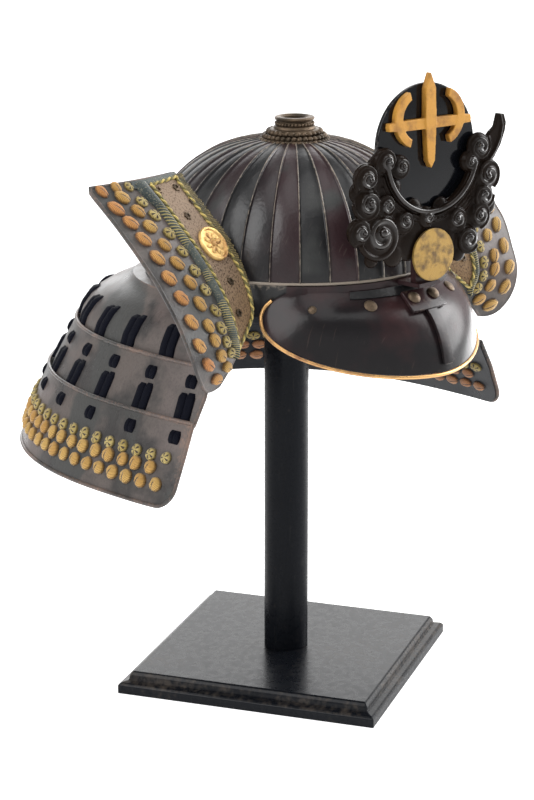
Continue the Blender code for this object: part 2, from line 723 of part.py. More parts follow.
def wing_back():
    """Skin just behind the right wing, which the top lame's front end meets"""
    rows = wing_grid(spread(0, 1, 14), spread(0, 1, 6), -WING_WALL - GAP * 2, 1)
    points = [point for row in rows for point in row]
    width = len(rows[0])
    faces = []
    for i in range(len(rows) - 1):
        for j in range(width - 1):
            first = i * width + j
            faces.append((first, first + 1, first + width + 1, first + width))
    return BVHTree.FromPolygons(points, faces)


def front_place(row, back):
    """Forward place of a top lame row's end: on the wing's back, or a set place where it misses"""
    drop, wider, longer, step_back = row
    half_width, half_length = BOWL_HALF_WIDTH + wider, BOWL_HALF_LENGTH + longer
    ends = []
    for forward in (TOP_LAME_FRONT - 0.012, TOP_LAME_FRONT - 0.006):
        angle = end_angle(half_length, forward)
        ends.append(ring_point(angle, half_width, half_length, LAME_CENTRE, LAME_FULLNESS, RIM_HEIGHT - drop))
    along = (ends[1] - ends[0]).normalized()
    hit = back.ray_cast(ends[0] - along * 0.02, along, 0.08)[0]
    limit = TOP_LAME_FRONT - step_back
    return min(limit, -hit.y - GAP) if hit else limit


def lame_rows(table, fronts):
    rows = []
    for (drop, wider, longer, step_back), forward in zip(table, fronts):
        half_width, half_length = BOWL_HALF_WIDTH + wider, BOWL_HALF_LENGTH + longer
        start = end_angle(half_length, forward)
        angles = spread(start, 2 * math.pi - start, LAME_STEPS)
        rows.append([ring_point(angle, half_width, half_length, LAME_CENTRE, LAME_FULLNESS, RIM_HEIGHT - drop)
                     for angle in angles])
    return rows


def make_neck_guard():
    back = wing_back()
    plans = [
        ("neck_lame_top", TOP_LAME, [front_place(row, back) for row in TOP_LAME]),
        ("neck_lame_middle", MIDDLE_LAME, [LAME_FRONT - row[3] for row in MIDDLE_LAME]),
        ("neck_lame_bottom", BOTTOM_LAME, [LAME_FRONT - row[3] for row in BOTTOM_LAME]),
    ]
    for name, table, fronts in plans:
        lame = add(name, grid_mesh(name, lame_rows(table, fronts)), RUSSET)
        wall(lame, LAME_WALL)
        smooth(lame)


def lame_size(table, drop):
    """Half width and half length of a lame's outer face at a height under the bowl rim"""
    for low, high in zip(table[:-1], table[1:]):
        if drop <= high[0]:
            break
    part = (drop - low[0]) / (high[0] - low[0])
    wider, longer = low[1] + (high[1] - low[1]) * part, low[2] + (high[2] - low[2]) * part
    return BOWL_HALF_WIDTH + wider, BOWL_HALF_LENGTH + longer


def lame_place(table, angle, drop):
    """Place on a lame's outer face at an angle and a height under the bowl rim"""
    half_width, half_length = lame_size(table, drop)
    return ring_point(angle, half_width, half_length, LAME_CENTRE, LAME_FULLNESS, RIM_HEIGHT - drop)


def lace_angles():
    """Equal steps of length round the middle lame, from one front end to the other"""
    start = end_angle(lame_size(MIDDLE_LAME, LOWER_LACE_TOP)[1], LACE_FRONT)
    angles = spread(start, 2 * math.pi - start, 400)
    lengths = [0.0]
    points = [lame_place(MIDDLE_LAME, angle, LOWER_LACE_TOP) for angle in angles]
    for before, after in zip(points[:-1], points[1:]):
        lengths.append(lengths[-1] + (after - before).length)
    chosen = []
    for column in range(LACE_COLUMNS):
        wanted = lengths[-1] * column / (LACE_COLUMNS - 1)
        index = min(range(len(lengths)), key=lambda i: abs(lengths[i] - wanted))
        chosen.append(angles[index])
    return chosen


def make_laces():
    profile = [(-1.0, 0.0), (-0.8, 1.0), (0.0, 0.6), (0.8, 1.0), (1.0, 0.0)]
    angles = lace_angles()
    for level, table, top, below in (("upper", TOP_LAME, UPPER_LACE_TOP, MIDDLE_LAME),
                                     ("lower", MIDDLE_LAME, LOWER_LACE_TOP, BOTTOM_LAME)):
        bottom = below[0][0] - GAP * 2
        spread_by = UPPER_LACE_SPREAD if level == "upper" else 1.0
        for number, angle in enumerate(angles, 1):
            angle = math.pi + (angle - math.pi) * spread_by
            rows = []
            for drop in [top] + [row[0] for row in table if top < row[0] < bottom] + [bottom]:
                at = lame_place(table, angle, drop)
                across = lame_place(table, angle + 0.01, drop) - lame_place(table, angle - 0.01, drop)
                across.normalize()
                down = lame_place(table, angle, drop + 0.001) - lame_place(table, angle, drop - 0.001)
                out = across.cross(down).normalized()
                height = LACE_THICKNESS * (0.45 if drop == top else 1.0)
                rows.append([at + across * (LACE_WIDTH / 2 * side) + out * (GAP * 2 + height * lift)
                             for side, lift in profile])
            name = f"lace_{level}_{number:02d}"
            add(name, grid_mesh(name, rows, wrap=True, cap=True), SILK)


make_bowl()
make_stand()
make_crown()
make_brow_band()
make_visor()
make_visor_fittings()
make_crest()
make_wings()
make_neck_guard()
make_laces()
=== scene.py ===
# A ribbed iron helmet with a laced neck guard, turned-back wings and a carved crest, on its
# plain black stand. Everything is in metres, in the CAD model's frame: the helmet faces -Y,
# its wearer's right hand is at -X, and the stand's foot is at Z = 0.

import math
import random

import bpy
from mathutils import Matrix, Vector


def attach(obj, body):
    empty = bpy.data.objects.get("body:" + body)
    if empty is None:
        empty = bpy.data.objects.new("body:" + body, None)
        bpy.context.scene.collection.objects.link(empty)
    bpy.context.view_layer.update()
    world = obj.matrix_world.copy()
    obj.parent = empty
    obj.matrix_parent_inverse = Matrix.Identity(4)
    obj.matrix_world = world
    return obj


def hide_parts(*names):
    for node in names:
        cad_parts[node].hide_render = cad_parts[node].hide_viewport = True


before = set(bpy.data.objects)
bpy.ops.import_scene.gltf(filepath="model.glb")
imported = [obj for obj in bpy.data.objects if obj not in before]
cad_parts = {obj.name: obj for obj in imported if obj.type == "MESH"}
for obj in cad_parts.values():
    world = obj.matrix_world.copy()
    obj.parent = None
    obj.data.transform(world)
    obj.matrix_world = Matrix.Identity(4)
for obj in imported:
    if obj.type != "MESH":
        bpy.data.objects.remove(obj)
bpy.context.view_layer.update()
bpy.ops.object.select_all(action="DESELECT")

# Camera: where the photographer stood, to the right of the wearer's face and a little above.
bpy.ops.object.camera_add(location=(-1.32097, -1.25361, 0.75156))
camera = bpy.context.object
camera.data.lens = 104.97
camera.data.sensor_width = 36.0
aim = Vector((-0.01101, 0.01140, 0.22829)) - camera.location
camera.rotation_euler = aim.to_track_quat("-Z", "Y").to_euler()
bpy.context.scene.camera = camera


# Floor and lights: a white sweep, brightly lit at the right of the picture, soft lights at both
# sides and above, and pale walls under a dim ceiling. Two brighter parts of the walls and the
# lit floor are mirrored in the visor's right end and in the board's top.
class Shading:
    """A node tree that is being built. An input takes a value or another node's output"""

    def __init__(self, tree):
        self.tree = tree

    def feed(self, socket, value):
        if isinstance(value, bpy.types.NodeSocket):
            self.tree.links.new(value, socket)
        else:
            socket.default_value = value

    def node(self, kind, inputs=(), output=0, **settings):
        """Adds a node, its inputs given by place or by name, and gives one of its outputs"""
        made = self.tree.nodes.new("ShaderNode" + kind)
        for name, value in settings.items():
            setattr(made, name, value)
        for key, value in inputs.items() if isinstance(inputs, dict) else enumerate(inputs):
            self.feed(made.inputs[key], value)
        return made.outputs[output]

    def between(self, value, low, high, start=0.0, end=1.0, way="SMOOTHSTEP"):
        """Spreads a value that runs from low to high over start to end"""
        return self.node("MapRange", (value, low, high, start, end), interpolation_type=way)

    def sums(self, way, *values):
        return self.node("Math", values, operation=way)

    def add(self, first, second):
        return self.sums("ADD", first, second)

    def times(self, first, second):
        return self.sums("MULTIPLY", first, second)

    def waves(self, value, length):
        """Runs from -1 to 1 and back once in each length"""
        return self.sums("SINE", self.times(value, 2 * math.pi / length))

    def mix(self, mask, first, second):
        """Mixes two colours by a mask; each may be a colour or an output"""
        first, second = [(*colour, 1.0) if isinstance(colour, tuple) else colour for colour in (first, second)]
        return self.node("Mix", {0: mask, 6: first, 7: second}, 2, data_type="RGBA")

    def layer(self, value, low, high, first, second):
        """Goes from the first colour to the second as a value runs from low to high"""
        return self.mix(self.between(value, low, high), first, second)

    def noise(self, at, scale, detail, roughness=0.5):
        return self.node("TexNoise", {"Vector": at, "Scale": scale, "Detail": detail, "Roughness": roughness}, "Fac")

    def group(self, group, **sockets):
        made = self.tree.nodes.new("ShaderNodeGroup")
        made.node_tree = group
        for name, value in sockets.items():
            self.feed(made.inputs[name], value)
        return made.outputs


world = bpy.data.worlds.new("studio")
world.use_nodes = True
room = Shading(world.node_tree)
sky = world.node_tree.nodes["Background"]
sky.inputs["Color"].default_value = (1.0, 1.0, 1.0, 1.0)
way = room.node("TexCoord", output="Generated")
walls = room.between(room.node("SeparateXYZ", (way,), "Z"), 0.40, 0.70, 0.62, 0.13, "LINEAR")
for toward, outer, inner, strength in (((0.89, -0.36, 0.28), 0.90, 0.975, 7.0),
                                       ((0.65, 0.66, 0.38), 0.85, 0.96, 2.6)):
    facing = room.node("VectorMath", (way, Vector(toward).normalized()), "Value", operation="DOT_PRODUCT")
    walls = room.add(walls, room.between(facing, outer, inner, 0.0, strength))
seen = room.node("LightPath", output="Is Camera Ray")
room.feed(sky.inputs["Strength"], room.between(seen, 0.0, 1.0, walls, 1.0, "LINEAR"))
bpy.context.scene.world = world
bpy.context.scene.view_settings.view_transform = "Standard"

bpy.ops.mesh.primitive_plane_add(size=40, location=(0, 0, -0.0002))
floor = bpy.context.object
floor.name = "floor"
white = bpy.data.materials.new("white_floor")
white.use_nodes = True
sweep = Shading(white.node_tree)
paper = white.node_tree.nodes["Principled BSDF"]
lit_middle = (1.9, 0.1, 0.0)
off = sweep.node("VectorMath", (sweep.node("TexCoord", output="Object"), lit_middle), "Value", operation="DISTANCE")
lit = sweep.between(off, 0.7, 1.5, 4.0, 0.38, "LINEAR")
seen = sweep.node("LightPath", output="Is Camera Ray")
for name, value in (("Base Color", (0.9, 0.9, 0.9, 1.0)), ("Roughness", 0.9), ("Specular IOR Level", 0.1),
                    ("Emission Color", (1.0, 1.0, 1.0, 1.0)),
                    ("Emission Strength", sweep.between(seen, 0.0, 1.0, lit, 0.76, "LINEAR"))):
    sweep.feed(paper.inputs[name], value)
floor.data.materials.append(white)

for name, place, target, size, power in (
        ("left_softbox", (-1.7, 0.3, 1.75), (0.0, 0.0, 0.33), 1.5, 36),
        ("right_softbox", (1.4, -0.7, 1.5), (0.0, -0.05, 0.33), 1.2, 16),
        ("top_softbox", (-0.1, -0.3, 1.9), (0.0, 0.0, 0.35), 1.2, 9)):
    bpy.ops.object.light_add(type="AREA", location=place)
    lamp = bpy.context.object
    lamp.name = name
    lamp.data.shape = "RECTANGLE"
    lamp.data.size = lamp.data.size_y = size
    lamp.data.energy = power
    lamp.rotation_euler = (Vector(target) - lamp.location).to_track_quat("-Z", "Y").to_euler()


# Stand: a wooden board with a stepped edge and a turned post whose rounded head fills the crown
# of the bowl, all painted satin black and rubbed pale along the edges.
def new_group(name, inputs, outputs):
    """A node group being built, the outputs of its input node and the inputs of its output node"""
    tree = bpy.data.node_groups.new(name, "ShaderNodeTree")
    for socket, kind, value in inputs:
        made = tree.interface.new_socket(socket, in_out="INPUT", socket_type="NodeSocket" + kind)
        if value is not None:
            made.default_value = value
    for socket in outputs:
        tree.interface.new_socket(socket, in_out="OUTPUT", socket_type="NodeSocketFloat")
    return Shading(tree), tree.nodes.new("NodeGroupInput").outputs, tree.nodes.new("NodeGroupOutput").inputs


# mottling: broad clouds, fine grain and rare scratches, shared by most of the finishes
made, given, result = new_group("mottling", [("Vector", "Vector", None), ("Size", "Float", 20.0)],
                                ["Clouds", "Grain", "Scratches"])
mottling = made.tree
drawn = made.node("Mapping", {"Vector": given["Vector"], "Rotation": (0.4, 0.7, 0.3), "Scale": (1.0, 14.0, 1.0)})
made.feed(result["Clouds"], made.noise(given["Vector"], given["Size"], 4.0, 0.6))
made.feed(result["Grain"], made.noise(given["Vector"], made.times(given["Size"], 22.0), 3.0))
made.feed(result["Scratches"], made.between(made.noise(drawn, made.times(given["Size"], 5.0), 1.0), 0.70, 0.76))

# worn edge: where the attribute "edge" is high and the grain lets it through, the finish is rubbed
made, given, result = new_group("worn_edge", [("Edge", "Float", 0.0), ("Grain", "Float", 0.5),
                                              ("Clouds", "Float", 0.5), ("Wear", "Float", 1.0)], ["Mask"])
worn_edge = made.tree
rub = made.add(made.add(given["Grain"], given["Clouds"]), made.times(given["Edge"], given["Wear"]))
made.feed(result["Mask"], made.between(rub, 1.25, 1.75))


class Finish(Shading):
    """A material on its object's own coordinates, with the shared mottling where it has a size for it"""

    def __init__(self, name, roughness, size=None, metallic=0.0, specular=None):
        self.material = bpy.data.materials.new(name)
        self.material.use_nodes = True
        super().__init__(self.material.node_tree)
        self.spot = self.node("TexCoord", output="Object")
        self.give(Roughness=roughness, Metallic=metallic, Coat_Roughness=0.12)
        if specular is not None:
            self.give(Specular_IOR_Level=specular)
        if size:
            marks = self.group(mottling, Vector=self.spot, Size=size)
            self.clouds, self.grain, self.scratches = marks["Clouds"], marks["Grain"], marks["Scratches"]

    def give(self, **sockets):
        for name, value in sockets.items():
            self.feed(self.tree.nodes["Principled BSDF"].inputs[name.replace("_", " ")], value)

    def attribute(self, name):
        return self.node("Attribute", output="Fac", attribute_name=name)

    def worn(self, wear, base, bare):
        """Rubs a colour down to the bare one along the edges that a piece marks in its own attribute"""
        mask = self.group(worn_edge, Edge=self.attribute("edge"), Grain=self.grain, Clouds=self.clouds, Wear=wear)
        return self.mix(mask["Mask"], base, bare)

    def scratched(self, share, base, bare):
        return self.mix(self.times(self.scratches, share), base, bare)

    def rough(self, value, low, high, start, end):
        self.give(Roughness=self.between(value, low, high, start, end))

    def raise_by(self, height, distance):
        self.give(Normal=self.node("Bump", {"Height": height, "Distance": distance, "Strength": 1.0}))

    def weave(self):
        """The UV map "weave", and its two parts"""
        lay = self.node("UVMap", output="UV", uv_map="weave")
        parts = self.node("SeparateXYZ", (lay,), "X").node.outputs
        return lay, parts["X"], parts["Y"]


paint = Finish("satin_black_paint", 0.30, 9.0, specular=0.08)
black_paint = paint.material
dark = paint.mix(paint.clouds, (0.004, 0.005, 0.007), (0.008, 0.009, 0.012))
dark = paint.scratched(0.10, dark, (0.07, 0.065, 0.06))
paint.give(Base_Color=paint.worn(0.40, dark, (0.060, 0.050, 0.042)))
paint.rough(paint.grain, 0.3, 0.7, 0.24, 0.36)
paint.raise_by(paint.grain, 0.00005)
board_paint = black_paint.copy()
board_paint.name = "polished_black_paint"
polish = Shading(board_paint.node_tree)
shader = board_paint.node_tree.nodes["Principled BSDF"]
shader.inputs["Coat Roughness"].default_value = 0.20
edge = polish.node("Attribute", output="Fac", attribute_name="edge")
polish.feed(shader.inputs["Coat Weight"], polish.between(edge, 0.0, 0.4, 1.0, 0.12))


def own_up(piece, material, *nodes, slot=None):
    """Gives a finished piece its material and its place on the stand, and hides the CAD nodes that it stands for"""
    piece.data.materials.clear()
    piece.data.materials.append(material)
    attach(piece, "root")
    if nodes:
        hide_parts(*nodes)


def only(*pieces):
    """Selects these pieces alone; the first becomes the active one"""
    bpy.ops.object.select_all(action="DESELECT")
    for piece in pieces:
        piece.select_set(True)
    bpy.context.view_layer.objects.active = pieces[0]


def settle(piece):
    """Applies a piece's modifiers and its place, so that its object sits at the origin"""
    only(piece)
    bpy.ops.object.convert(target="MESH")
    bpy.ops.object.transform_apply(location=True, rotation=True, scale=True)


def smooth(angle=None):
    """Shades the active piece smooth, up to an angle in degrees"""
    if angle:
        bpy.ops.object.shade_smooth_by_angle(angle=math.radians(angle))
    else:
        bpy.ops.object.shade_smooth()


def modified(piece, name, kind, **settings):
    made = piece.modifiers.new(name, kind)
    for setting, value in settings.items():
        setattr(made, setting, value)


def write_values(piece, name, values):
    """Writes an attribute, one value for each point"""
    piece.data.attributes.new(name, "FLOAT", "POINT").data.foreach_set("value", values)


def mark_edges(piece, rule):
    """Writes the attribute "edge", from 0 to 1: one value, or a rule for each point"""
    values = [rule(point.co) if callable(rule) else rule for point in piece.data.vertices]
    write_values(piece, "edge", values)


def in_edit(*steps, select="SELECT"):
    """Runs mesh operators in edit mode on the active piece: each an operator's name and its settings"""
    bpy.ops.object.mode_set(mode="EDIT")
    if select:
        bpy.ops.mesh.select_all(action=select)
    for operator, settings in steps:
        getattr(bpy.ops.mesh, operator)(**settings)
    bpy.ops.object.mode_set(mode="OBJECT")


def pick_top(piece):
    """Selects the faces that look up"""
    bpy.ops.object.mode_set(mode="EDIT")
    bpy.ops.mesh.select_mode(type="FACE")
    bpy.ops.mesh.select_all(action="DESELECT")
    bpy.ops.object.mode_set(mode="OBJECT")
    for face in piece.data.polygons:
        face.select = face.normal.z > 0.9


def extruded(rise, forward=0.0):
    return "extrude_region_move", {"TRANSFORM_OT_translate": {"value": (0, -forward, rise)}}


board_turn = math.radians(25.2)
foot_side, foot_height = 0.216, 0.0072
bpy.ops.mesh.primitive_cube_add(size=1, location=(0, 0, foot_height / 2))
board = bpy.context.object
board.name = "board"
board.scale = (foot_side, foot_side, foot_height)
bpy.ops.object.transform_apply(location=True, scale=True)
pick_top(board)
for rise, reach in ((0.0018, 0.1060), (0.0009, 0.1018), (0.0004, 0.1008), (0.0034, 0.1005),
                    (0.0024, 0.0990), (0.0009, 0.0980)):
    in_edit(extruded(rise), select=None)
    for face in board.data.polygons:
        if face.select:
            for number in face.vertices:
                corner = board.data.vertices[number].co
                corner.x, corner.y = math.copysign(reach, corner.x), math.copysign(reach, corner.y)
modified(board, "edges", "BEVEL", width=0.0007, segments=2, limit_method="ANGLE", angle_limit=math.radians(20))
board.rotation_euler = (0, 0, board_turn)
settle(board)
unturn = Matrix.Rotation(-board_turn, 3, "Z")


def board_edge(point):
    flat = unturn @ point
    reach = max(abs(flat.x), abs(flat.y))
    return 1.0 if foot_height < point.z < 0.0165 and reach > 0.0975 else 0.45 if reach > 0.097 else 0.0


mark_edges(board, board_edge)
own_up(board, board_paint, "stand_board", slot="black_wood")

post_reach, post_foot, head_neck = 0.018, 0.0173, 0.409
bpy.ops.mesh.primitive_cylinder_add(vertices=96, radius=post_reach, depth=head_neck - post_foot,
                                    location=(0, 0, (head_neck + post_foot) / 2))
column = bpy.context.object
column.name = "column"
bpy.ops.object.transform_apply(location=True)
pick_top(column)
bpy.ops.object.mode_set(mode="EDIT")
reach, height = post_reach, head_neck
for new_reach, new_height, shift in ((0.0265, 0.413, 0.0035), (0.034, 0.419, 0.001), (0.0395, 0.427, 0.001),
                                     (0.0420, 0.4325, 0.0005), (0.0440, 0.4365, 0.0), (0.0360, 0.4385, 0.0),
                                     (0.0250, 0.4402, 0.0), (0.0130, 0.4408, 0.0)):
    operator, settings = extruded(new_height - height, shift)
    getattr(bpy.ops.mesh, operator)(**settings)
    bpy.ops.transform.resize(value=(new_reach / reach, new_reach / reach, 1))
    reach, height = new_reach, new_height
bpy.ops.object.mode_set(mode="OBJECT")
settle(column)
smooth(40)
mark_edges(column, lambda point: 0.5 if point.z < post_foot + 0.0003 else 0.0)
own_up(column, black_paint, "stand_column", slot="black_wood")


# Bowl: 32 iron plates riveted edge on edge round a hole at the crown. One long side of each is
# turned up into a thin rib. The lacquer is a black brown with russet and grey-green clouds, and
# it is rubbed to a pale line along the ribs and the rim.
def weld():
    in_edit(("remove_doubles", {"threshold": 0.00001}))


def laid_plate(name, rows):
    """A grid laid through rows of points"""
    bpy.ops.mesh.primitive_grid_add(x_subdivisions=len(rows[0]) - 1, y_subdivisions=len(rows) - 1, size=1)
    made = bpy.context.object
    made.name = made.data.name = name
    made.data.vertices.foreach_set("co", [value for row in rows for point in row for value in point])
    made.data.update()
    return made


def thicken(piece, thickness):
    """Gives a laid plate its wall, on the inner side, and applies it"""
    modified(piece, "wall", "SOLIDIFY", thickness=thickness, offset=-1.0, use_even_offset=True)
    settle(piece)
    smooth(38)


def flip(piece):
    only(piece)
    in_edit(("flip_normals", {}))


def faces_away_from(piece, inside):
    """Turns a laid plate's faces so that they look away from a point"""
    face = piece.data.polygons[len(piece.data.polygons) // 2]
    if face.normal.dot(face.center - Vector(inside)) < 0:
        flip(piece)


def plate_of(name, rows, inside, thickness):
    """A laid plate with its wall, its outer face away from a point"""
    made = laid_plate(name, rows)
    faces_away_from(made, inside)
    thicken(made, thickness)
    return made


def place(forward, side, height):
    """Helmet place to world place: side is to the wearer's right"""
    return Vector((-side, -forward, height))


def spread(start, end, steps):
    return [start + (end - start) * i / steps for i in range(steps + 1)]


rim_height, bowl_centre = 0.352, 0.004
bowl_half_width, bowl_half_length, bowl_rise = 0.112, 0.120, 0.093
plates = 32
wall = 0.0022


def round_bowl(angle, height, out=0.0):
    """A place round the bowl's rim: angle 0 is the front, a quarter turn the wearer's right"""
    return place(bowl_centre + (bowl_half_length + out) * math.cos(angle),
                 (bowl_half_width + out) * math.sin(angle), height)


def bowl_point(angle, reach, lift):
    """Outer face of the bowl: reach is 1 at the rim, angle 0 the front, a quarter the right"""
    cosine = reach ** 1.25
    sine = math.sqrt(max(0.0, 1 - cosine * cosine))
    height = rim_height + bowl_rise * sine ** (2 / 1.7)
    centre = bowl_centre + 0.004 * (1 - reach)
    forward = centre + bowl_half_length * reach * math.cos(angle)
    side = bowl_half_width * reach * math.sin(angle)
    outward = Vector((-side, -(forward - centre), 0)).normalized()
    return place(forward, side, height) + (outward * cosine + Vector((0, 0, sine))).normalized() * lift


reaches = [0.107, 0.13, 0.16, 0.20, 0.24] + spread(0.28, 0.88, 22) + [0.91, 0.935, 0.955, 0.972, 0.985, 0.994, 1.0]
chance = random.Random(7)
plate_tones = [chance.random() for number in range(plates)]
half_plate = math.pi / plates
rows, marks_on, tones = [], [], []
for reach in reaches:
    row, mark, tone_row = [], [], []
    half_rib = min(0.0011 / (bowl_half_width * reach), half_plate * 0.42)
    rib_height = 0.0016 * min(1.0, reach * 2.2)
    swell = 0.0009 * min(1.0, reach * 1.5)
    for number in range(plates):
        middle = 2 * math.pi * number / plates
        row += [bowl_point(middle + half_rib * step, reach, rib_height * lift)
                for step, lift in ((-1.0, 0.0), (-0.45, 0.8), (0.1, 1.0), (0.5, 0.25))]
        first, last = middle + half_rib, middle + 2 * half_plate - half_rib
        row += [bowl_point(first + (last - first) * share, reach, swell * math.sin(math.pi * share))
                for share in (0.0, 0.2, 0.5, 0.8)]
        mark += [0.0, 0.3, 0.86, 0.2] + [0.0] * 4
        tone_row += [plate_tones[number - 1]] * 2 + [plate_tones[number]] * 6
    tones += tone_row + tone_row[:1]
    rows.append(row + row[:1])
    marks_on += [max(value, 0.5 if reach > 0.994 else 0.0) for value in mark + mark[:1]]
bowl = laid_plate("helmet_bowl", rows)
write_values(bowl, "edge", marks_on)
write_values(bowl, "tone", tones)
weld()
faces_away_from(bowl, (0, 0, 0.38))
thicken(bowl, wall)

paint = Finish("black_brown_lacquer", 0.34, 13.0, specular=0.40)
lacquer = paint.material
tone = paint.noise(paint.spot, 26.0, 2.0)
base = paint.layer(paint.add(paint.attribute("tone"), paint.clouds), 0.62, 1.25, (0.011, 0.011, 0.012),
                   (0.030, 0.014, 0.016))
base = paint.layer(tone, 0.52, 0.72, base, (0.030, 0.031, 0.030))
base = paint.scratched(0.22, base, (0.12, 0.10, 0.085))
paint.give(Base_Color=paint.worn(0.80, base, (0.25, 0.21, 0.17)))
paint.rough(tone, 0.35, 0.65, 0.30, 0.40)
paint.raise_by(paint.grain, 0.00022)
own_up(bowl, lacquer, "bowl", slot="bowl_lacquer")

# Crown fitting: chased bronze, gone dark. Two tiers of petals lie on the plates, a row of beads
# over them, and a collar with a rolled lip lines the hole.
crown_centre, seat = 0.008, 0.4417


def round_crown(angle, reach, height):
    return place(crown_centre + reach * math.cos(angle), -reach * math.sin(angle), seat + height)


def turned_ring(name, profile, steps=96):
    """Spins a closed profile of (reach, height over the seat) round the crown"""
    made = laid_plate(name, [[round_crown(angle, reach, height) for angle in spread(0, 2 * math.pi, steps)]
                             for reach, height in profile + profile[:1]])
    weld()
    in_edit(("normals_make_consistent", {"inside": False}))
    smooth(50)
    return made


def ball(at, scale, segments=10, rings=6, turn=(0, 0, 0)):
    bpy.ops.mesh.primitive_uv_sphere_add(segments=segments, ring_count=rings, radius=1, location=at,
                                         scale=scale, rotation=turn)
    return bpy.context.object


def ring_of(count, reach, height, size, turn=0.0):
    """Small cast bosses set round the crown"""
    angles = [2 * math.pi * (number + turn) / count for number in range(count)]
    return [ball(round_crown(angle, reach, height), size, turn=(0, 0, angle - math.pi / 2)) for angle in angles]


def joined(pieces, name=None):
    """Joins pieces into the first and settles it at the origin"""
    for piece in pieces:
        only(piece)
        bpy.ops.object.transform_apply(location=True, rotation=True, scale=True)
    only(*pieces)
    bpy.ops.object.join()
    made = pieces[0]
    if name:
        made.name = made.data.name = name
    return made


paint = Finish("dark_bronze", 0.42, 60.0, metallic=0.75)
bronze = paint.material
base = paint.layer(paint.clouds, 0.35, 0.65, (0.050, 0.036, 0.024), (0.15, 0.105, 0.068))
paint.give(Base_Color=paint.layer(paint.grain, 0.56, 0.72, base, (0.085, 0.075, 0.052)))
paint.rough(paint.grain, 0.3, 0.7, 0.36, 0.6)
paint.raise_by(paint.grain, 0.0003)

for name, node, profile, rings in (
        ("crown_petal_tiers", "crown_petals",
         [(0.0150, 0.001), (0.0262, -0.0002), (0.0262, 0.0016), (0.0235, 0.0040), (0.0205, 0.0052), (0.0150, 0.0052)],
         [(38, 0.0262, 0.0012, (0.0023, 0.0024, 0.0023)), (34, 0.0236, 0.0044, (0.0022, 0.0023, 0.0022), 0.5)]),
        ("crown_bead_row", "crown_beads",
         [(0.0120, 0.0056), (0.0205, 0.0056), (0.0215, 0.0075), (0.0190, 0.0098), (0.0120, 0.0102)],
         [(28, 0.0203, 0.0079, (0.0023, 0.0021, 0.0021))]),
        ("crown_tube", "crown_collar",
         [(0.0095, 0.0104), (0.0165, 0.0104), (0.0160, 0.0122), (0.0135, 0.0132), (0.0133, 0.0160), (0.0155, 0.0172),
          (0.0158, 0.0184), (0.0150, 0.0193), (0.0120, 0.0196), (0.0110, 0.0190), (0.0095, 0.0180)],
         [(34, 0.0145, 0.0142, (0.0013, 0.0013, 0.0014))])):
    pieces = [turned_ring(name, profile)]
    for ring in rings:
        pieces += ring_of(*ring)
    own_up(joined(pieces), bronze, node, slot="old_bronze")

# Brow band: the iron band under the bowl that carries the visor and the neck guard. A narrow
# flange along the bowl's rim is rubbed to bare brown metal.
rim_steps = 144
around = spread(0, 2 * math.pi, rim_steps)
band = laid_plate("brow_band_iron", [[round_bowl(angle, rim_height - drop) for angle in around]
                                     for drop in (0.0003, 0.008, 0.0170, 0.0262)])
weld()
faces_away_from(band, (0, 0, rim_height - 0.012))
thicken(band, wall)
mark_edges(band, lambda point: 0.75 if point.z > rim_height - 0.001 else 0.0)
own_up(band, lacquer, "brow_band", slot="bowl_lacquer")


def thick_line(name, points, radius, ring=3, closed=False):
    """A round bar along a line of points, made a mesh"""
    curve = bpy.data.curves.new(name, "CURVE")
    curve.dimensions = "3D"
    curve.bevel_depth = radius
    curve.bevel_resolution = ring
    curve.use_fill_caps = not closed
    spline = curve.splines.new("POLY")
    spline.points.add(len(points) - 1)
    spline.use_cyclic_u = closed
    for at, point in zip(spline.points, points):
        at.co = (*point, 1.0)
    made = bpy.data.objects.new(name, curve)
    bpy.context.scene.collection.objects.link(made)
    only(made)
    bpy.ops.object.convert(target="MESH")
    smooth()
    return bpy.context.object


rim_line = thick_line("bowl_rim_line", [round_bowl(angle, rim_height + 0.0004, 0.0006) for angle in around[:-1]],
                      0.0011, closed=True)
mark_edges(rim_line, 1.9)
own_up(rim_line, lacquer, slot="bowl_lacquer")


# Visor: one beaten iron plate under glossy lacquer, with a gilt rim, a stepped flange that
# overlaps the brow band, and two rivets on each side.
def visor_edge(turn):
    angle = turn * math.pi / 2
    cosine = max(0.0, math.cos(angle))
    forward = 0.0754 + 0.0923 * cosine ** (2 / 1.76)
    side = 0.1069 * math.copysign(abs(math.sin(angle)) ** (2 / 1.76), angle)
    return place(forward, side, 0.3283 - 0.0434 * cosine ** 0.59)


def visor_root(turn):
    return round_bowl(turn * math.radians(50), rim_height - 0.006, 0.0025)


def visor_point(turn, share, lift=0.0):
    """Outer face of the visor: turn -1 to 1 from left to right, share 0 at the root, 1 at the rim"""
    root, rim = visor_root(turn), visor_edge(turn)
    down = (rim - root).normalized()
    along = (visor_edge(min(1, turn + 0.02)) - visor_edge(max(-1, turn - 0.02))).normalized()
    outward = along.cross(down).normalized()
    if outward.y > 0:
        outward.negate()
    swell = math.sin(math.pi * share)
    point = root.lerp(rim, share) + outward * (0.010 * swell * (1 - abs(turn) ** 3) + lift)
    return point + Vector((0, 0.006 * swell * abs(turn) ** 8, 0))


def visor_normal(turn, share):
    across = visor_point(turn + 0.01, share) - visor_point(turn - 0.01, share)
    down = visor_point(turn, share + 0.01) - visor_point(turn, share - 0.01)
    return across.cross(down).normalized()


visor_inside = (0, -0.05, 0.25)
turns = [math.sin(math.pi / 2 * t) for t in spread(-1, 1, 110)]
rows = [[visor_root(turn) + Vector((0, 0, 0.005)) for turn in turns]]
rows += [[visor_point(turn, share) for turn in turns] for share in spread(0, 1, 26)]
visor = plate_of("visor_plate", rows, visor_inside, wall)
mark_edges(visor, 0.0)

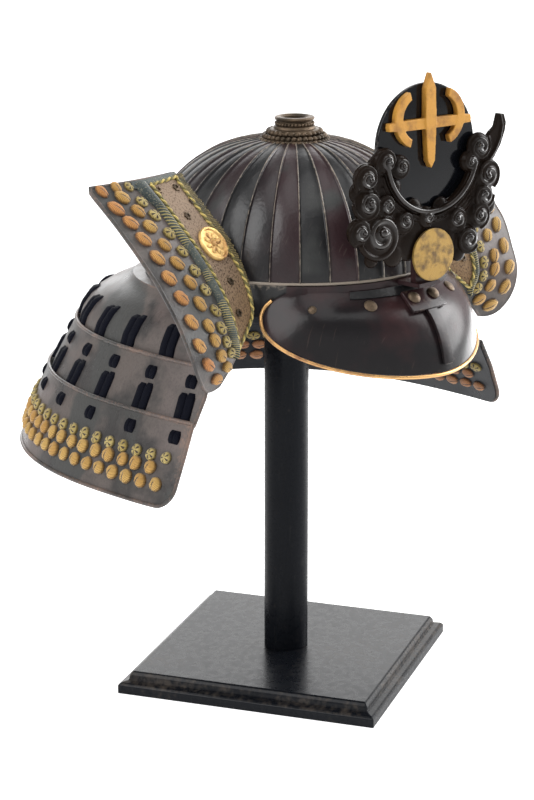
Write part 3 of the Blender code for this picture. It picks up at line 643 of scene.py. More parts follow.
paint = Finish("glossy_lacquer", 0.24, 10.0, specular=0.22)
gloss = paint.material
base = paint.layer(paint.clouds, 0.42, 0.66, (0.013, 0.012, 0.013), (0.040, 0.017, 0.018))
base = paint.scratched(0.12, base, (0.12, 0.08, 0.06))
paint.give(Base_Color=paint.worn(0.6, base, (0.20, 0.15, 0.10)))
paint.rough(paint.clouds, 0.3, 0.7, 0.16, 0.27)
paint.raise_by(paint.grain, 0.00010)
own_up(visor, gloss, "visor", slot="bowl_lacquer")

paint = Finish("worn_gilt", 0.34, 45.0, metallic=0.9)
gilt = paint.material
paint.give(Base_Color=paint.layer(paint.clouds, 0.45, 0.7, (0.72, 0.42, 0.17), (0.30, 0.15, 0.08)))
paint.rough(paint.grain, 0.3, 0.7, 0.26, 0.5)

line = [visor_edge(turn) + (visor_edge(turn) - visor_point(turn, 0.93)).normalized() * 0.0018 for turn in turns]
ends = [[visor_point(sign, share) + Vector((-sign * 0.0006, 0.0006, 0)) for share in spread(0.93, 0.34, 12)]
        for sign in (-1, 1)]
own_up(thick_line("visor_gilt_rim", ends[0][::-1] + line + ends[1], 0.0014, ring=4), gilt, "visor_rim",
       slot="gilt")


def stand_on(piece, at, normal):
    """Moves a piece made at the origin to its place, its top along a normal"""
    turn = Vector((0, 0, 1)).rotation_difference(normal)
    piece.data.transform(Matrix.Translation(at) @ turn.to_matrix().to_4x4())
    return piece


def rivet(name, turn, share, lift, radius, rise):
    """Domed rivet on the visor: a low ball, cut flat where it meets the plate"""
    made = ball((0, 0, 0), (radius, radius, rise), 28, 16)
    made.name = name
    bpy.ops.object.transform_apply(scale=True)
    in_edit(("bisect", {"plane_co": (0, 0, 0), "plane_no": (0, 0, 1), "clear_inner": True, "use_fill": True}))
    normal = visor_normal(turn, share)
    stand_on(made, visor_point(turn, share) + normal * lift, normal)
    smooth(60)
    return made


sides = (("right", 1), ("left", -1))
for side, sign in sides:
    own_up(rivet(f"visor_big_rivet_{side}", 0.40 * sign, 0.22, 0.0002, 0.0052, 0.0019), bronze,
           f"visor_rivet_{side}", slot="old_bronze")
    own_up(rivet(f"visor_small_rivet_{side}", 0.76 * sign, 0.30, 0.0, 0.0034, 0.0016), bronze, slot="old_bronze")

# the flange: a thin raised strip along the middle of the visor's root, square at both ends
rows = [[visor_point(turn, share, 0.0010) for turn in spread(-0.53, 0.53, 60)] for share in spread(0.01, 0.115, 4)]
flange = plate_of("visor_flange", rows, visor_inside, 0.0009)
mark_edges(flange, 0.2)
own_up(flange, lacquer, slot="bowl_lacquer")


# Crest holder: an iron plate riveted to the middle of the visor with two domed rivets. It
# narrows into a ridge that runs down to the rim, and carries the upright tongue of the crest.
def holder_rows(lift, table):
    return [[visor_point(half * step, share, lift) for step in spread(-1, 1, 8)] for share, half in table]


wide, narrow = 0.0170 / bowl_half_width, 0.0050 / bowl_half_width
plate = plate_of("crest_plate", holder_rows(0.0040, [(share, wide) for share in (0.10, 0.14, 0.20, 0.27, 0.34, 0.36)]),
                 visor_inside, 0.0030)
ridge_table = [(0.362, narrow)] + [(share, narrow * (1 - 0.15 * share)) for share in spread(0.42, 0.95, 12)]
holder = joined([plate, plate_of("ridge", holder_rows(0.0036, ridge_table), visor_inside, 0.0026)])
mark_edges(holder, 0.3)
modified(holder, "edges", "BEVEL", width=0.0004, limit_method="ANGLE")
settle(holder)
own_up(holder, gloss, "holder_plate", slot="bowl_lacquer")
for side, sign in sides:
    own_up(rivet(f"plate_rivet_{side}", sign * 0.0105 / bowl_half_width, 0.22, 0.0043, 0.0052, 0.0034),
           bronze, f"holder_rivet_{side}", slot="old_bronze")

holder_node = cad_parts["crest_holder"]
holder_node.data.materials.clear()
holder_node.data.materials.append(gloss)

# Crest: a turned disc of black lacquered wood behind a band of carved clouds, with a gilt
# three-pronged ornament pegged to the disc and a cast gold medallion low in front. All of it
# stands on the upright tongue of the holder, turned a little to the wearer's right.
crest_turn, crest_lean = math.radians(9), math.radians(2)
level = Vector((-math.sin(crest_turn), -math.cos(crest_turn), 0))
out = level * math.cos(crest_lean) + Vector((0, 0, math.sin(crest_lean)))
up = Vector((0, 0, math.cos(crest_lean))) - level * math.sin(crest_lean)
crest_plane = Matrix((up.cross(out), up, out)).transposed().to_4x4()
crest_plane.translation = (0, -0.1526, 0.3725)
disc_rise, disc_radius, crescent_rise = 0.0812, 0.0474, 0.0768


def turned_disc(name, rise, radius, back, front, edge_width):
    """A disc in the crest's plane with rounded edges"""
    bpy.ops.mesh.primitive_cylinder_add(vertices=128, radius=radius, depth=front - back, end_fill_type="NGON",
                                        location=(0, rise, (front + back) / 2))
    made = bpy.context.object
    made.name = made.data.name = name
    modified(made, "edge", "BEVEL", width=edge_width, segments=4, limit_method="ANGLE")
    settle(made)
    smooth(50)
    return made


def set_in_crest(piece):
    piece.data.transform(crest_plane)
    return piece


paint = Finish("mirror_black_lacquer", 0.10, 25.0, specular=0.28)
base = paint.mix(paint.clouds, (0.002, 0.002, 0.003), (0.005, 0.006, 0.008))
paint.give(Base_Color=paint.worn(0.5, base, (0.10, 0.09, 0.08)))
paint.rough(paint.grain, 0.3, 0.7, 0.08, 0.16)
disc = turned_disc("crest_black_disc", disc_rise, disc_radius, -0.0126, -0.0086, 0.0010)
mark_edges(disc, lambda point: 0.7 if math.hypot(point.x, point.y - disc_rise) > disc_radius - 0.0008 else 0.0)
own_up(set_in_crest(disc), paint.material, "crest_disc", slot="gloss_black")

# the clouds' tables: across, up and radius of each swirl, angle and reach along the outer edge
cloud_back, cloud_front = -0.0083, -0.0028
swirls = [(-0.0435, 0.0749, 0.0100), (-0.0300, 0.0690, 0.0095), (-0.0620, 0.0640, 0.0115),
          (-0.0615, 0.0445, 0.0130), (-0.0440, 0.0420, 0.0095), (-0.0500, 0.0200, 0.0190),
          (-0.0690, 0.0250, 0.0110), (-0.0268, 0.0280, 0.0095), (-0.0050, 0.0290, 0.0080),
          (0.0249, 0.0240, 0.0100), (0.0360, 0.0070, 0.0115), (0.0480, 0.0240, 0.0105),
          (0.0520, 0.0385, 0.0110), (0.0560, 0.0545, 0.0125), (0.0480, 0.0765, 0.0110),
          (0.0385, 0.0660, 0.0085)]
lobes = [(-0.0200, 0.0100, 0.0135), (0.0180, 0.0085, 0.0120), (-0.0350, 0.0040, 0.0100),
         (-0.0680, 0.0540, 0.0080), (0.0420, 0.0450, 0.0080), (-0.0150, 0.0360, 0.0080),
         (0.0120, 0.0340, 0.0080), (0.0330, 0.0330, 0.0080), (-0.0340, 0.0540, 0.0070),
         (0.0600, 0.0300, 0.0070), (0.0290, -0.0030, 0.0070), (-0.0560, 0.0020, 0.0060)]
cloud_edge = [(176, 0.0480), (185, 0.0580), (197, 0.0680), (207, 0.0780), (214, 0.0870), (223, 0.0930),
              (234, 0.0910), (244, 0.0880), (257, 0.0840), (270, 0.0850), (286, 0.0870), (296, 0.0860),
              (303, 0.0820), (309, 0.0780), (318, 0.0760), (326, 0.0730), (334, 0.0710), (341, 0.0660),
              (348, 0.0560)]
horn = [(0.0560, 0.0600), (0.0640, 0.0665), (0.0705, 0.0755), (0.0750, 0.0860), (0.0760, 0.0920),
        (0.0738, 0.0986), (0.0675, 0.0998), (0.0645, 0.0900), (0.0590, 0.0860), (0.0540, 0.0800)]


def arc(across, rise, radius, start, end, steps):
    return [(across + radius * math.cos(math.radians(angle)), rise + radius * math.sin(math.radians(angle)))
            for angle in spread(start, end, steps)]


def board_cut(name, outline, back, front):
    """A flat cut-out: its outline filled, then extruded from its back to its front"""
    bpy.ops.mesh.primitive_circle_add(vertices=len(outline), radius=1, fill_type="NGON")
    made = bpy.context.object
    made.name = made.data.name = name
    made.data.vertices.foreach_set("co", [value for x, y in outline for value in (x, y, back)])
    made.data.update()
    in_edit(extruded(front - back))
    in_edit(("normals_make_consistent", {"inside": False}))
    return made


def carved(name, blanks, grain, rounding):
    """Fuses the blanks of a carving into one skin and rounds it as a chisel and sandpaper would"""
    piece = joined(blanks, name)
    modified(piece, "skin", "REMESH", mode="VOXEL", voxel_size=grain)
    modified(piece, "rounded", "SMOOTH", factor=0.5, iterations=rounding)
    settle(piece)
    smooth()
    return piece


outline = [(0.985 * reach * math.cos(math.radians(angle)), disc_rise + 0.985 * reach * math.sin(math.radians(angle)))
           for angle, reach in cloud_edge]
blanks = [board_cut("clouds", outline + arc(0, crescent_rise, 0.0425, 348, 176, 48), cloud_back, cloud_front - 0.0012),
          board_cut("horn", horn, cloud_back + 0.0012, cloud_front - 0.0006)]
for number, (across, rise, radius) in enumerate(swirls):
    facing = math.atan2(crescent_rise - rise, -across)
    blanks.append(ball((across, rise, -0.0050), (radius * 0.98, radius * 0.98, 0.0052), 32, 16))
    hand = 1 if number % 2 else -1
    line = []
    for part in spread(0, 1, 60):
        angle = facing + math.pi + hand * (part * 2 * math.pi * 1.7 - 0.6)
        reach = radius * (1.00 - 0.84 * part ** 0.85)
        line.append((across + reach * math.cos(angle), rise + reach * math.sin(angle),
                     -0.0034 + 0.0042 * part ** 0.8))
    blanks.append(thick_line("curl", line, radius * 0.115 + 0.0003, ring=2))
    blanks.append(ball((*line[-1][:2], 0.0012), [radius * 0.19] * 3, 20, 12))
for across, rise, radius in lobes:
    blanks.append(ball((across, rise, -0.0066), (radius, radius, 0.0036), 24, 12))
for radius, thickness, start, end, depth in ((0.0440, 0.0021, 184, 346, -0.0010), (0.0483, 0.0010, 196, 344, -0.0030),
                                             (0.0513, 0.0009, 204, 338, -0.0033), (0.0543, 0.0009, 292, 334, -0.0036),
                                             (0.0573, 0.0009, 296, 330, -0.0036)):
    line = [(x, y, depth) for x, y in arc(0, crescent_rise, radius, start, end, 60)]
    blanks.append(thick_line("ridge", line, thickness, ring=2))
flame = [(0.0570, 0.0640, -0.0036), (0.0640, 0.0720, -0.0034), (0.0690, 0.0810, -0.0034), (0.0712, 0.0900, -0.0036),
         (0.0700, 0.0975, -0.0042)]
blanks.append(thick_line("flame", flame, 0.0015, ring=2))
clouds = carved("crest_carved_clouds", blanks, 0.00062, 3)
mark_edges(clouds, lambda point: min(1.0, max(0.0, (point.z + 0.0015) / 0.0035)) * 0.5)

paint = Finish("carved_dark_wood", 0.24, 40.0, specular=0.07)
base = paint.mix(paint.clouds, (0.004, 0.003, 0.0025), (0.016, 0.010, 0.007))
paint.give(Base_Color=paint.worn(0.55, base, (0.040, 0.029, 0.023)),
           Coat_Weight=paint.between(paint.attribute("edge"), 0.05, 0.42))
paint.raise_by(paint.grain, 0.00008)
own_up(set_in_crest(clouds), paint.material, "crest_clouds", slot="carved_wood")

back, front = -0.0083, -0.0033
middle = 0.0987
bar = [(-0.0395, -0.0030), (-0.020, -0.0040), (0.020, -0.0040), (0.0395, -0.0030), (0.0400, 0.0),
       (0.0395, 0.0030), (0.020, 0.0040), (-0.020, 0.0040), (-0.0395, 0.0030), (-0.0400, 0.0)]
prong = [(-0.0035, -0.028), (0.0, -0.0335), (0.0035, -0.028), (0.0052, 0.0), (0.0048, 0.026), (0.0, 0.0375),
         (-0.0048, 0.026), (-0.0052, 0.0)]
blanks = [board_cut("bar", [(x, middle + y) for x, y in bar], back, front),
          board_cut("prong", [(x, middle + y) for x, y in prong], back, front + 0.0008)]
for sign in (1, -1):
    bow = arc(0.012, middle + 0.004, 0.0218, -70, 70, 20) + arc(0.010, middle + 0.004, 0.0165, 62, -62, 20)
    blanks.append(board_cut("side_prong", [(sign * x, y) for x, y in bow[::sign]], back, front + 0.0002))
ornament = carved("crest_gilt_ornament", blanks, 0.00042, 5)

paint = Finish("old_gold_leaf", 0.42, 70.0, metallic=0.35)
base = paint.layer(paint.clouds, 0.40, 0.68, (0.50, 0.245, 0.036), (0.27, 0.120, 0.024))
paint.give(Base_Color=paint.layer(paint.grain, 0.62, 0.75, base, (0.16, 0.08, 0.03)))
paint.rough(paint.grain, 0.3, 0.7, 0.34, 0.58)
paint.raise_by(paint.grain, 0.00035)
own_up(set_in_crest(ornament), paint.material, "crest_ornament", slot="gilt")

medallion = turned_disc("crest_gold_medallion", 0, 0.0200, -0.0025, -0.0002, 0.0007)
paint = Finish("cast_old_gold", 0.45, 110.0, metallic=0.65)
paint.give(Base_Color=paint.layer(paint.clouds, 0.38, 0.66, (0.36, 0.225, 0.060), (0.12, 0.075, 0.032)))
paint.rough(paint.grain, 0.3, 0.7, 0.36, 0.60)
paint.raise_by(paint.add(paint.clouds, paint.grain), 0.0006)
own_up(set_in_crest(medallion), paint.material, "crest_medallion", slot="old_gold")

# Neck guard: three wide lames of iron under russet-brown lacquer, one hung behind the next.
# The top edge of the two lower ones is rolled, and the lowest edge is turned out. Each row of a
# lame's table has its drop under the bowl's rim, half width, half length and front end.
lame_centre, lame_fullness = 0.008, 2.39
lame_plans = {
    "neck_lame_top": [(0.0160, 0.1149, 0.1272, 0.0590), (0.0210, 0.1180, 0.1340, 0.0640),
                      (0.0290, 0.1285, 0.1535, 0.0691), (0.0380, 0.1375, 0.1685, 0.0720),
                      (0.0490, 0.1440, 0.1765, 0.0729), (0.0620, 0.1480, 0.1805, 0.0710),
                      (0.0700, 0.1500, 0.1825, 0.0600)],
    "neck_lame_middle": [(0.0575, 0.1495, 0.1815, 0.0620), (0.0770, 0.1600, 0.1910, 0.0650),
                         (0.0970, 0.1705, 0.2002, 0.0640), (0.1070, 0.1750, 0.2030, 0.0540)],
    "neck_lame_bottom": [(0.0950, 0.1722, 0.2024, 0.0650), (0.1180, 0.1840, 0.2105, 0.0670),
                         (0.1380, 0.1926, 0.2154, 0.0670), (0.1490, 0.1972, 0.2179, 0.0610),
                         (0.1544, 0.1993, 0.2191, 0.0490)]}


def lame_row(plan, drop):
    """Half width, half length and front end of a lame at a drop"""
    index = 0
    while index < len(plan) - 2 and drop > plan[index + 1][0]:
        index += 1
    low, high = plan[index], plan[index + 1]
    part = (drop - low[0]) / (high[0] - low[0])
    return [a + (b - a) * part for a, b in zip(low[1:], high[1:])]


def lame_place(plan, angle, drop):
    """Outer face of a lame: angle 0 is the front, a quarter turn the wearer's right"""
    half_width, half_length, front = lame_row(plan, drop)
    cosine, sine = [math.copysign(abs(value) ** (2 / lame_fullness), value)
                    for value in (math.cos(angle), math.sin(angle))]
    return place(lame_centre + half_length * cosine, half_width * sine, rim_height - drop)


def lame_end(plan, drop, forward=None):
    """Angle at which a lame ends at the front; the lowest one's bottom corner is rounded"""
    half_width, half_length, front = lame_row(plan, drop)
    if forward is None:
        forward = front
        corner = (drop - 0.1394) / 0.015
        if corner > 0:
            forward = 0.0670 - 0.015 * (1 - math.sqrt(max(0.0, 1 - corner * corner)))
    return math.acos(((forward - lame_centre) / half_length) ** (lame_fullness / 2))


def lame_angles(plan, drop, steps, forward=None):
    """Angles from a lame's right end round the back to its left end"""
    start = lame_end(plan, drop, forward)
    return spread(start, 2 * math.pi - start, steps)


def lame_look(plan, angle, drop):
    """Unit directions on a lame: across, down and out"""
    across = (lame_place(plan, angle + 0.004, drop) - lame_place(plan, angle - 0.004, drop)).normalized()
    down = (lame_place(plan, angle, drop + 0.0008) - lame_place(plan, angle, drop - 0.0008)).normalized()
    return across, down, across.cross(down).normalized()


def over_lame(plan, angle, drop, lift, lower=0.0):
    """A place over a lame's outer face"""
    across, down, outward = lame_look(plan, angle, drop)
    return lame_place(plan, angle, drop) + outward * lift + down * lower


paint = Finish("russet_brown_lacquer", 0.36, 24.0, specular=0.36)
russet = paint.material
tone = paint.noise(paint.spot, 13.0, 4.0)
base = paint.layer(paint.clouds, 0.40, 0.60, (0.040, 0.037, 0.036), (0.100, 0.083, 0.075))
base = paint.layer(tone, 0.50, 0.62, base, (0.115, 0.092, 0.085))
base = paint.layer(tone, 0.44, 0.36, base, (0.050, 0.050, 0.048))
base = paint.mix(paint.times(paint.between(paint.grain, 0.48, 0.66), 0.24), base, (0.032, 0.028, 0.027))
base = paint.scratched(0.25, base, (0.20, 0.17, 0.15))
base = paint.worn(0.6, base, (0.20, 0.13, 0.10))
paint.give(Base_Color=paint.mix(paint.attribute("inside"), base, (0.020, 0.022, 0.026)))
paint.rough(paint.clouds, 0.35, 0.65, 0.26, 0.46)
paint.raise_by(paint.grain, 0.00018)

for name, plan in lame_plans.items():
    top_drop, last_drop = plan[0][0], plan[-1][0]
    drops = spread(top_drop, last_drop - 0.004, 22) + [last_drop - step for step in (0.0026, 0.0014, 0.0006, 0.0001)]
    lame = laid_plate(name + "_plate", [[lame_place(plan, angle, drop) for angle in lame_angles(plan, drop, 150)]
                                        for drop in drops])
    modified(lame, "hammered_fair", "SMOOTH", factor=0.5, iterations=2)
    settle(lame)
    faces_away_from(lame, (0, -0.02, rim_height - 0.05))
    thicken(lame, wall)
    top, bottom = rim_height - top_drop, rim_height - last_drop
    mark_edges(lame, lambda point: 0.8 if point.z > top - 0.0012 else 0.7 if point.z < bottom + 0.0012 else
               0.5 if -point.y > 0.060 and abs(point.x) > 0.12 else 0.0)
    write_values(lame, "inside", [float(point.normal.dot(Vector((*point.co.xy, 0))) < 0)
                                  for point in lame.data.vertices])
    own_up(lame, russet, name, slot="russet_lames")
    edges = []
    if name != "neck_lame_top":
        line = [over_lame(plan, angle, top_drop, 0.0002, -0.0004) for angle in lame_angles(plan, top_drop, 160)]
        edges.append(thick_line("rolled_edge", line, 0.0016))
    front_line = [over_lame(plan, lame_end(plan, drop), drop, 0.0003) for drop in drops]
    bottom_line = [over_lame(plan, angle, last_drop, 0.0003) for angle in lame_angles(plan, last_drop, 160)]
    other_front = [Vector((-point.x, point.y, point.z)) for point in front_line]
    edges.append(thick_line("turned_edge", front_line + bottom_line[1:-1] + other_front[::-1], 0.0015))
    roll = joined(edges, name + "_rolled_edge")
    mark_edges(roll, 0.62)
    own_up(roll, russet, slot="russet_lames")

# the top lame's seat: a narrow flange that carries it on the brow band
plan = lame_plans["neck_lame_top"]
seat_drop = plan[0][0] + 0.0004
rows = [[], []]
for angle in lame_angles(plan, seat_drop, 150):
    outer = lame_place(plan, angle, seat_drop)
    bearing = math.atan2(-outer.x / bowl_half_width, (-outer.y - bowl_centre) / bowl_half_length)
    rows[0].append(place(bowl_centre + 0.995 * bowl_half_length * math.cos(bearing),
                         0.995 * bowl_half_width * math.sin(bearing), outer.z + 0.0012))
    rows[1].append(outer)
seat_flange = laid_plate("neck_lame_seat", rows)
if seat_flange.data.polygons[0].normal.z < 0:
    flip(seat_flange)
thicken(seat_flange, 0.0014)
mark_edges(seat_flange, 0.0)
own_up(seat_flange, russet, slot="russet_lames")

# Lacing: sixteen pairs of flat braids of navy silk carry each lame below the next. Each braid
# comes out of its own hole and runs down behind the rolled edge, and a short stitch under that
# edge shows where it is made fast.
paint = Finish("navy_silk_braid", 0.62, 60.0, specular=0.08)
silk = paint.material
lay, across, along = paint.weave()
plait = paint.waves(paint.add(along, paint.times(paint.sums("ABSOLUTE", across), 0.0030)), 0.0013)
base = paint.layer(plait, -0.8, 0.9, (0.0014, 0.0016, 0.0036), (0.0046, 0.0056, 0.0135))
paint.give(Base_Color=paint.layer(paint.clouds, 0.55, 0.75, base, (0.008, 0.009, 0.012)))
paint.raise_by(plait, 0.00012)


def lay_thread(piece, rows_of_uv):
    """Writes the UV map "weave": metres across and along, one pair for each point"""
    layer = piece.data.uv_layers.new(name="weave")
    for loop in piece.data.loops:
        layer.data[loop.index].uv = rows_of_uv[loop.vertex_index]


def braid(plan, angle, shift, top, bottom, width, sink):
    """One flat braid down a lame, its upper end rounded into its hole, and its lower one where it sinks"""
    section = [(math.cos(turn), math.sin(turn)) for turn in spread(0, math.pi, 8)]
    rows, uvs = [], []
    for drop in spread(top, bottom, max(5, int((bottom - top) / 0.0028))):
        across, down, outward = lame_look(plan, angle, drop)
        at = lame_place(plan, angle, drop) + across * shift
        rise, wide = braid_thickness, width
        for part in [(drop - top) / 0.0035] + ([(bottom - drop) / 0.0030] if sink else []):
            full = math.sin(min(1.0, part) * math.pi / 2)
            rise *= 0.25 + 0.75 * full
            wide *= 0.72 + 0.28 * full
        rows.append([at + across * (wide / 2 * x) + outward * (rise * y ** 0.7 - 0.0004) for x, y in section])
        uvs += [(wide / 2 * x / 0.0022, drop) for x, y in section]
    made = laid_plate("braid", rows)
    lay_thread(made, uvs)
    faces_away_from(made, (0, 0, 0.28))
    return made


def sew_braids(name, *nodes, braids):
    lace = joined(braids, name)
    smooth()
    own_up(lace, silk, *nodes, slot="navy_silk")


braid_thickness = 0.0030
lace_angles = [1.4106, 1.5751, 1.7568, 1.9818, 2.2415, 2.5184, 2.7954, 3.0464, 3.2368, 3.4878, 3.7647, 4.0417,
               4.3014, 4.5264, 4.7081, 4.8726]
pair = [(angle, side) for angle in lace_angles for side in (-1, 1)]
for level_name, plan_name, below, top, turn_by in (
        ("upper", "neck_lame_top", "neck_lame_middle", 0.0340, 1.012),
        ("lower", "neck_lame_middle", "neck_lame_bottom", 0.0760, 1.0)):
    edge_drop = lame_plans[below][0][0]
    sew_braids(f"lacing_{level_name}", *[f"lace_{level_name}_{number:02d}" for number in range(1, 17)],
               braids=[braid(lame_plans[plan_name], math.pi + (angle - math.pi) * turn_by, side * 0.0036,
                             top + 0.0004 * side, edge_drop - 0.0004, 0.0082, False) for angle, side in pair])
    start = edge_drop + 0.0062
    sew_braids(f"lacing_stitches_{level_name}",
               braids=[braid(lame_plans[below], angle, side * 0.0022, start, start + 0.0092, 0.0062, True)
                       for angle, side in pair])


# Knots: hard little pads wound with ochre silk, sewn through the lowest lame in two rows, with
# a row of round yellow-green knots above them whose five slots are painted near black as shade.
def knot_silk(name, low, high, slotted=False):
    """Silk wound over a pad: fine ridges in UV, a colour that varies from knot to knot, and painted shade in the
    grooves between the threads, round the pad's rim, in the crease of an oval knot and in the slots of a round one
    """
    paint = Finish(name, 0.62)
    lay, across, along = paint.weave()
    lean = paint.add(paint.times(across, 0.55), along)
    lean = paint.add(lean, paint.times(paint.noise(paint.spot, 260.0, 1.0), 0.05))
    wound = paint.sums("SINE", paint.times(lean, 31.0))
    base = paint.mix(paint.attribute("shade"), low, high)
    # painted shade: the silk is darker in the grooves between the wound threads
    base = paint.layer(wound, 0.1, -0.9, base, tuple(value * 0.52 for value in low))
    reach = paint.node("VectorMath", (lay,), "Value", operation="LENGTH")
    # painted shade: darker round the pad's rim, where it meets the lame
    base = paint.layer(reach, 0.80, 1.0, base, tuple(value * 0.28 for value in low))
    if slotted:
        petals = paint.sums("SINE", paint.times(paint.sums("ARCTAN2", along, across), 5.0))
        ring = paint.times(paint.between(reach, 0.12, 0.24), paint.between(reach, 0.86, 0.70))
        shaded_groove = paint.times(paint.between(petals, 0.30, 0.65), ring)
    else:
        bent = paint.add(paint.sums("SUBTRACT", along, paint.times(across, 0.16)), 0.12)
        shaded_groove = paint.times(paint.between(paint.sums("ABSOLUTE", bent), 0.11, 0.03), paint.between(across, -0.55, -0.1))
    # painted shade: the crease of an oval knot and the five slots of a round one are painted near black
    paint.give(Base_Color=paint.mix(shaded_groove, base, (0.030, 0.016, 0.008)), Sheen_Weight=0.2)
    paint.raise_by(paint.sums("SUBTRACT", paint.times(wound, 0.35), paint.times(shaded_groove, 1.6)), 0.00035)
    return paint.material


ochre = knot_silk("ochre_silk_knots", (0.50, 0.26, 0.050), (0.63, 0.40, 0.105))
orange = knot_silk("orange_silk_knots", (0.53, 0.20, 0.042), (0.61, 0.33, 0.080))
yellow_green = knot_silk("yellow_green_silk_knots", (0.44, 0.32, 0.080), (0.60, 0.47, 0.17), True)
# a darker, browner copy of the ochre silk, for the backs of the knots inside the guard
darker_silk = knot_silk("faded_brown_silk_knots", (0.40, 0.16, 0.055), (0.52, 0.24, 0.095))

pad = ball((0, 0, 0), (1, 1, 1), 12, 8)
pad.name = "knot_pad"
in_edit(("bisect", {"plane_co": (0, 0, -0.30), "plane_no": (0, 0, 1), "clear_inner": True}))
smooth()
lay_thread(pad, [(point.co.x, point.co.y) for point in pad.data.vertices])
pad.data.attributes.new("shade", "FLOAT", "POINT")


def sewn(name, settings, material):
    """Sews a knot at each place: its place, long direction, outward direction and half sizes"""
    knots = []
    for at, long_way, outward, size in settings:
        short_way = outward.cross(long_way).normalized()
        long_way = short_way.cross(outward).normalized()
        turn = Matrix((long_way, short_way, outward)).transposed().to_4x4()
        mesh = pad.data.copy()
        for point in mesh.vertices:
            point.co *= chance.uniform(0.92, 1.07)
        mesh.transform(Matrix.Translation(at) @ turn @ Matrix.Diagonal((*size, 1.0)))
        mesh.attributes["shade"].data.foreach_set("value", [chance.random()] * len(mesh.vertices))
        knots.append(bpy.data.objects.new(name, mesh))
        bpy.context.scene.collection.objects.link(knots[-1])
    only(*knots)
    bpy.ops.object.join()
    knots[0].name = knots[0].data.name = name
    own_up(knots[0], material)


plan = lame_plans["neck_lame_bottom"]
knot_step = 0.0152


def even_angles(drop, first_forward, shift):
    """Angles at equal steps of length round the lowest lame"""
    fine_angles = lame_angles(plan, drop, 1200, first_forward)
    points = [lame_place(plan, angle, drop) for angle in fine_angles]
    total = sum((b - a).length for a, b in zip(points[:-1], points[1:]))
    count = int(total / knot_step)
    wanted = [(total - count * knot_step) / 2 + knot_step * (i + shift) for i in range(count + (0 if shift else 1))]
    chosen, run = [], 0.0
    for angle, a, b in zip(fine_angles, points[:-1], points[1:]):
        run += (b - a).length
        if wanted and run >= wanted[0]:
            chosen.append(angle)
            wanted.pop(0)
    return chosen


for name, drop, forward, shift, half, material, back_material in (
        ("lame_knots_round", 0.1205, 0.052, 0.0, (0.0053, 0.0050, 0.0031), yellow_green, yellow_green),
        ("lame_knots_middle", 0.1292, 0.052, 0.5, (0.0060, 0.0056, 0.0041), ochre, darker_silk),
        ("lame_knots_low", 0.1398, 0.050, 0.0, (0.0058, 0.0057, 0.0041), ochre, darker_silk)):
    settings, backs = [], []
    for angle in even_angles(drop, forward, shift):
        across, down, outward = lame_look(plan, angle, drop)
        at = over_lame(plan, angle, drop, 0.0005)
        long_way = down.lerp(across, 0.35 + chance.uniform(-0.15, 0.15))
        size = [value * chance.uniform(0.92, 1.06) for value in half]
        settings.append((at, long_way, outward, size))
        backs.append((at - outward * 0.0033, across, -outward, (0.0066, 0.0046, 0.0026)))
    sewn(name, settings, material)
    sewn(name + "_backs", backs, back_material)

# Wings: the front ends of the upper lame are turned back and outwards. The outer half of each is
# the same russet iron, set with knots. The inner half is covered with printed leather inside
# twisted cords, with a padded piping of teal silk between the two and a gold rosette.
wing_outer = [(0.0750, 0.1610, 0.0760), (0.0850, 0.1800, 0.0550), (0.0850, 0.1890, 0.0340), (0.0760, 0.1920, 0.0130),
              (0.0650, 0.1950, -0.0060), (0.0520, 0.1960, -0.0210), (0.0260, 0.2030, -0.0520), (0.0, 0.2100, -0.0790)]
wing_inner = [(0.0690, 0.1110, 0.0230), (0.0660, 0.1090, 0.0085), (0.0560, 0.1060, -0.0070), (0.0440, 0.1080, -0.0235),
              (0.0340, 0.1120, -0.0380), (0.0240, 0.1170, -0.0513), (0.0130, 0.1225, -0.0667), (0.0020, 0.1250, -0.0795)]


def wing_edge(table, share):
    """A fair curve through an edge's points"""
    spot_on = min(max(share, 0.0), 1.0) * (len(table) - 1)
    index = min(int(spot_on), len(table) - 2)
    part = spot_on - index
    start, end = Vector(table[index]), Vector(table[index + 1])
    before = Vector(table[index - 1]) if index else start * 2 - end
    after = Vector(table[index + 2]) if index < len(table) - 2 else end * 2 - start
    return 0.5 * (start * 2 + (end - before) * part + (before * 2 - start * 5 + end * 4 - after) * part ** 2
                  + (start * 3 - before - end * 3 + after) * part ** 3)


def wing_point(share, across, sign):
    """Front face of a wing: share runs from its lower tip to its top, across from outside inwards"""
    narrow = 0.45 * max(0.0, 1 - share / 0.09) ** 2.2
    across = across + (0.40 - across) * narrow
    across = across + (1 - across) * 0.035 * max(0.0, (share - 0.975) / 0.025) ** 2
    point = wing_edge(wing_outer, share).lerp(wing_edge(wing_inner, share), across)
    return place(point.x + 0.004 * math.sin(math.pi * min(1, max(0, across))), sign * point.y, rim_height - point.z)


def wing_look(share, across, sign):
    """Unit directions on a wing: towards its top, inwards and out of its front face"""
    up_way = wing_point(min(share + 0.01, 1), across, sign) - wing_point(max(share - 0.01, 0), across, sign)
    inward = wing_point(share, min(across + 0.01, 1), sign) - wing_point(share, max(across - 0.01, 0), sign)
    normal = up_way.cross(inward).normalized()
    return up_way.normalized(), inward.normalized(), -normal if normal.y > 0 else normal


def over_wing(share, across, lift, sign):
    return wing_point(share, across, sign) + wing_look(share, across, sign)[2] * lift


paint = Finish("printed_deerskin", 0.80, 30.0)
leather = paint.material
lay, across, along = paint.weave()
leaves = paint.node("TexVoronoi", {"Vector": lay, "Scale": 420.0}, "Distance", feature="DISTANCE_TO_EDGE")
printed = paint.times(paint.between(paint.noise(lay, 560.0, 3.0), 0.50, 0.58), paint.between(leaves, 0.02, 0.08))
base = paint.mix(paint.clouds, (0.34, 0.245, 0.170), (0.22, 0.155, 0.105))
base = paint.layer(along, 0.10, 0.02, base, (0.24, 0.15, 0.075))
fade = paint.between(along, 0.135, 0.060, 0.50, 0.95)
paint.give(Base_Color=paint.mix(paint.times(printed, fade), base, (0.055, 0.028, 0.018)))
paint.raise_by(paint.grain, 0.0004)

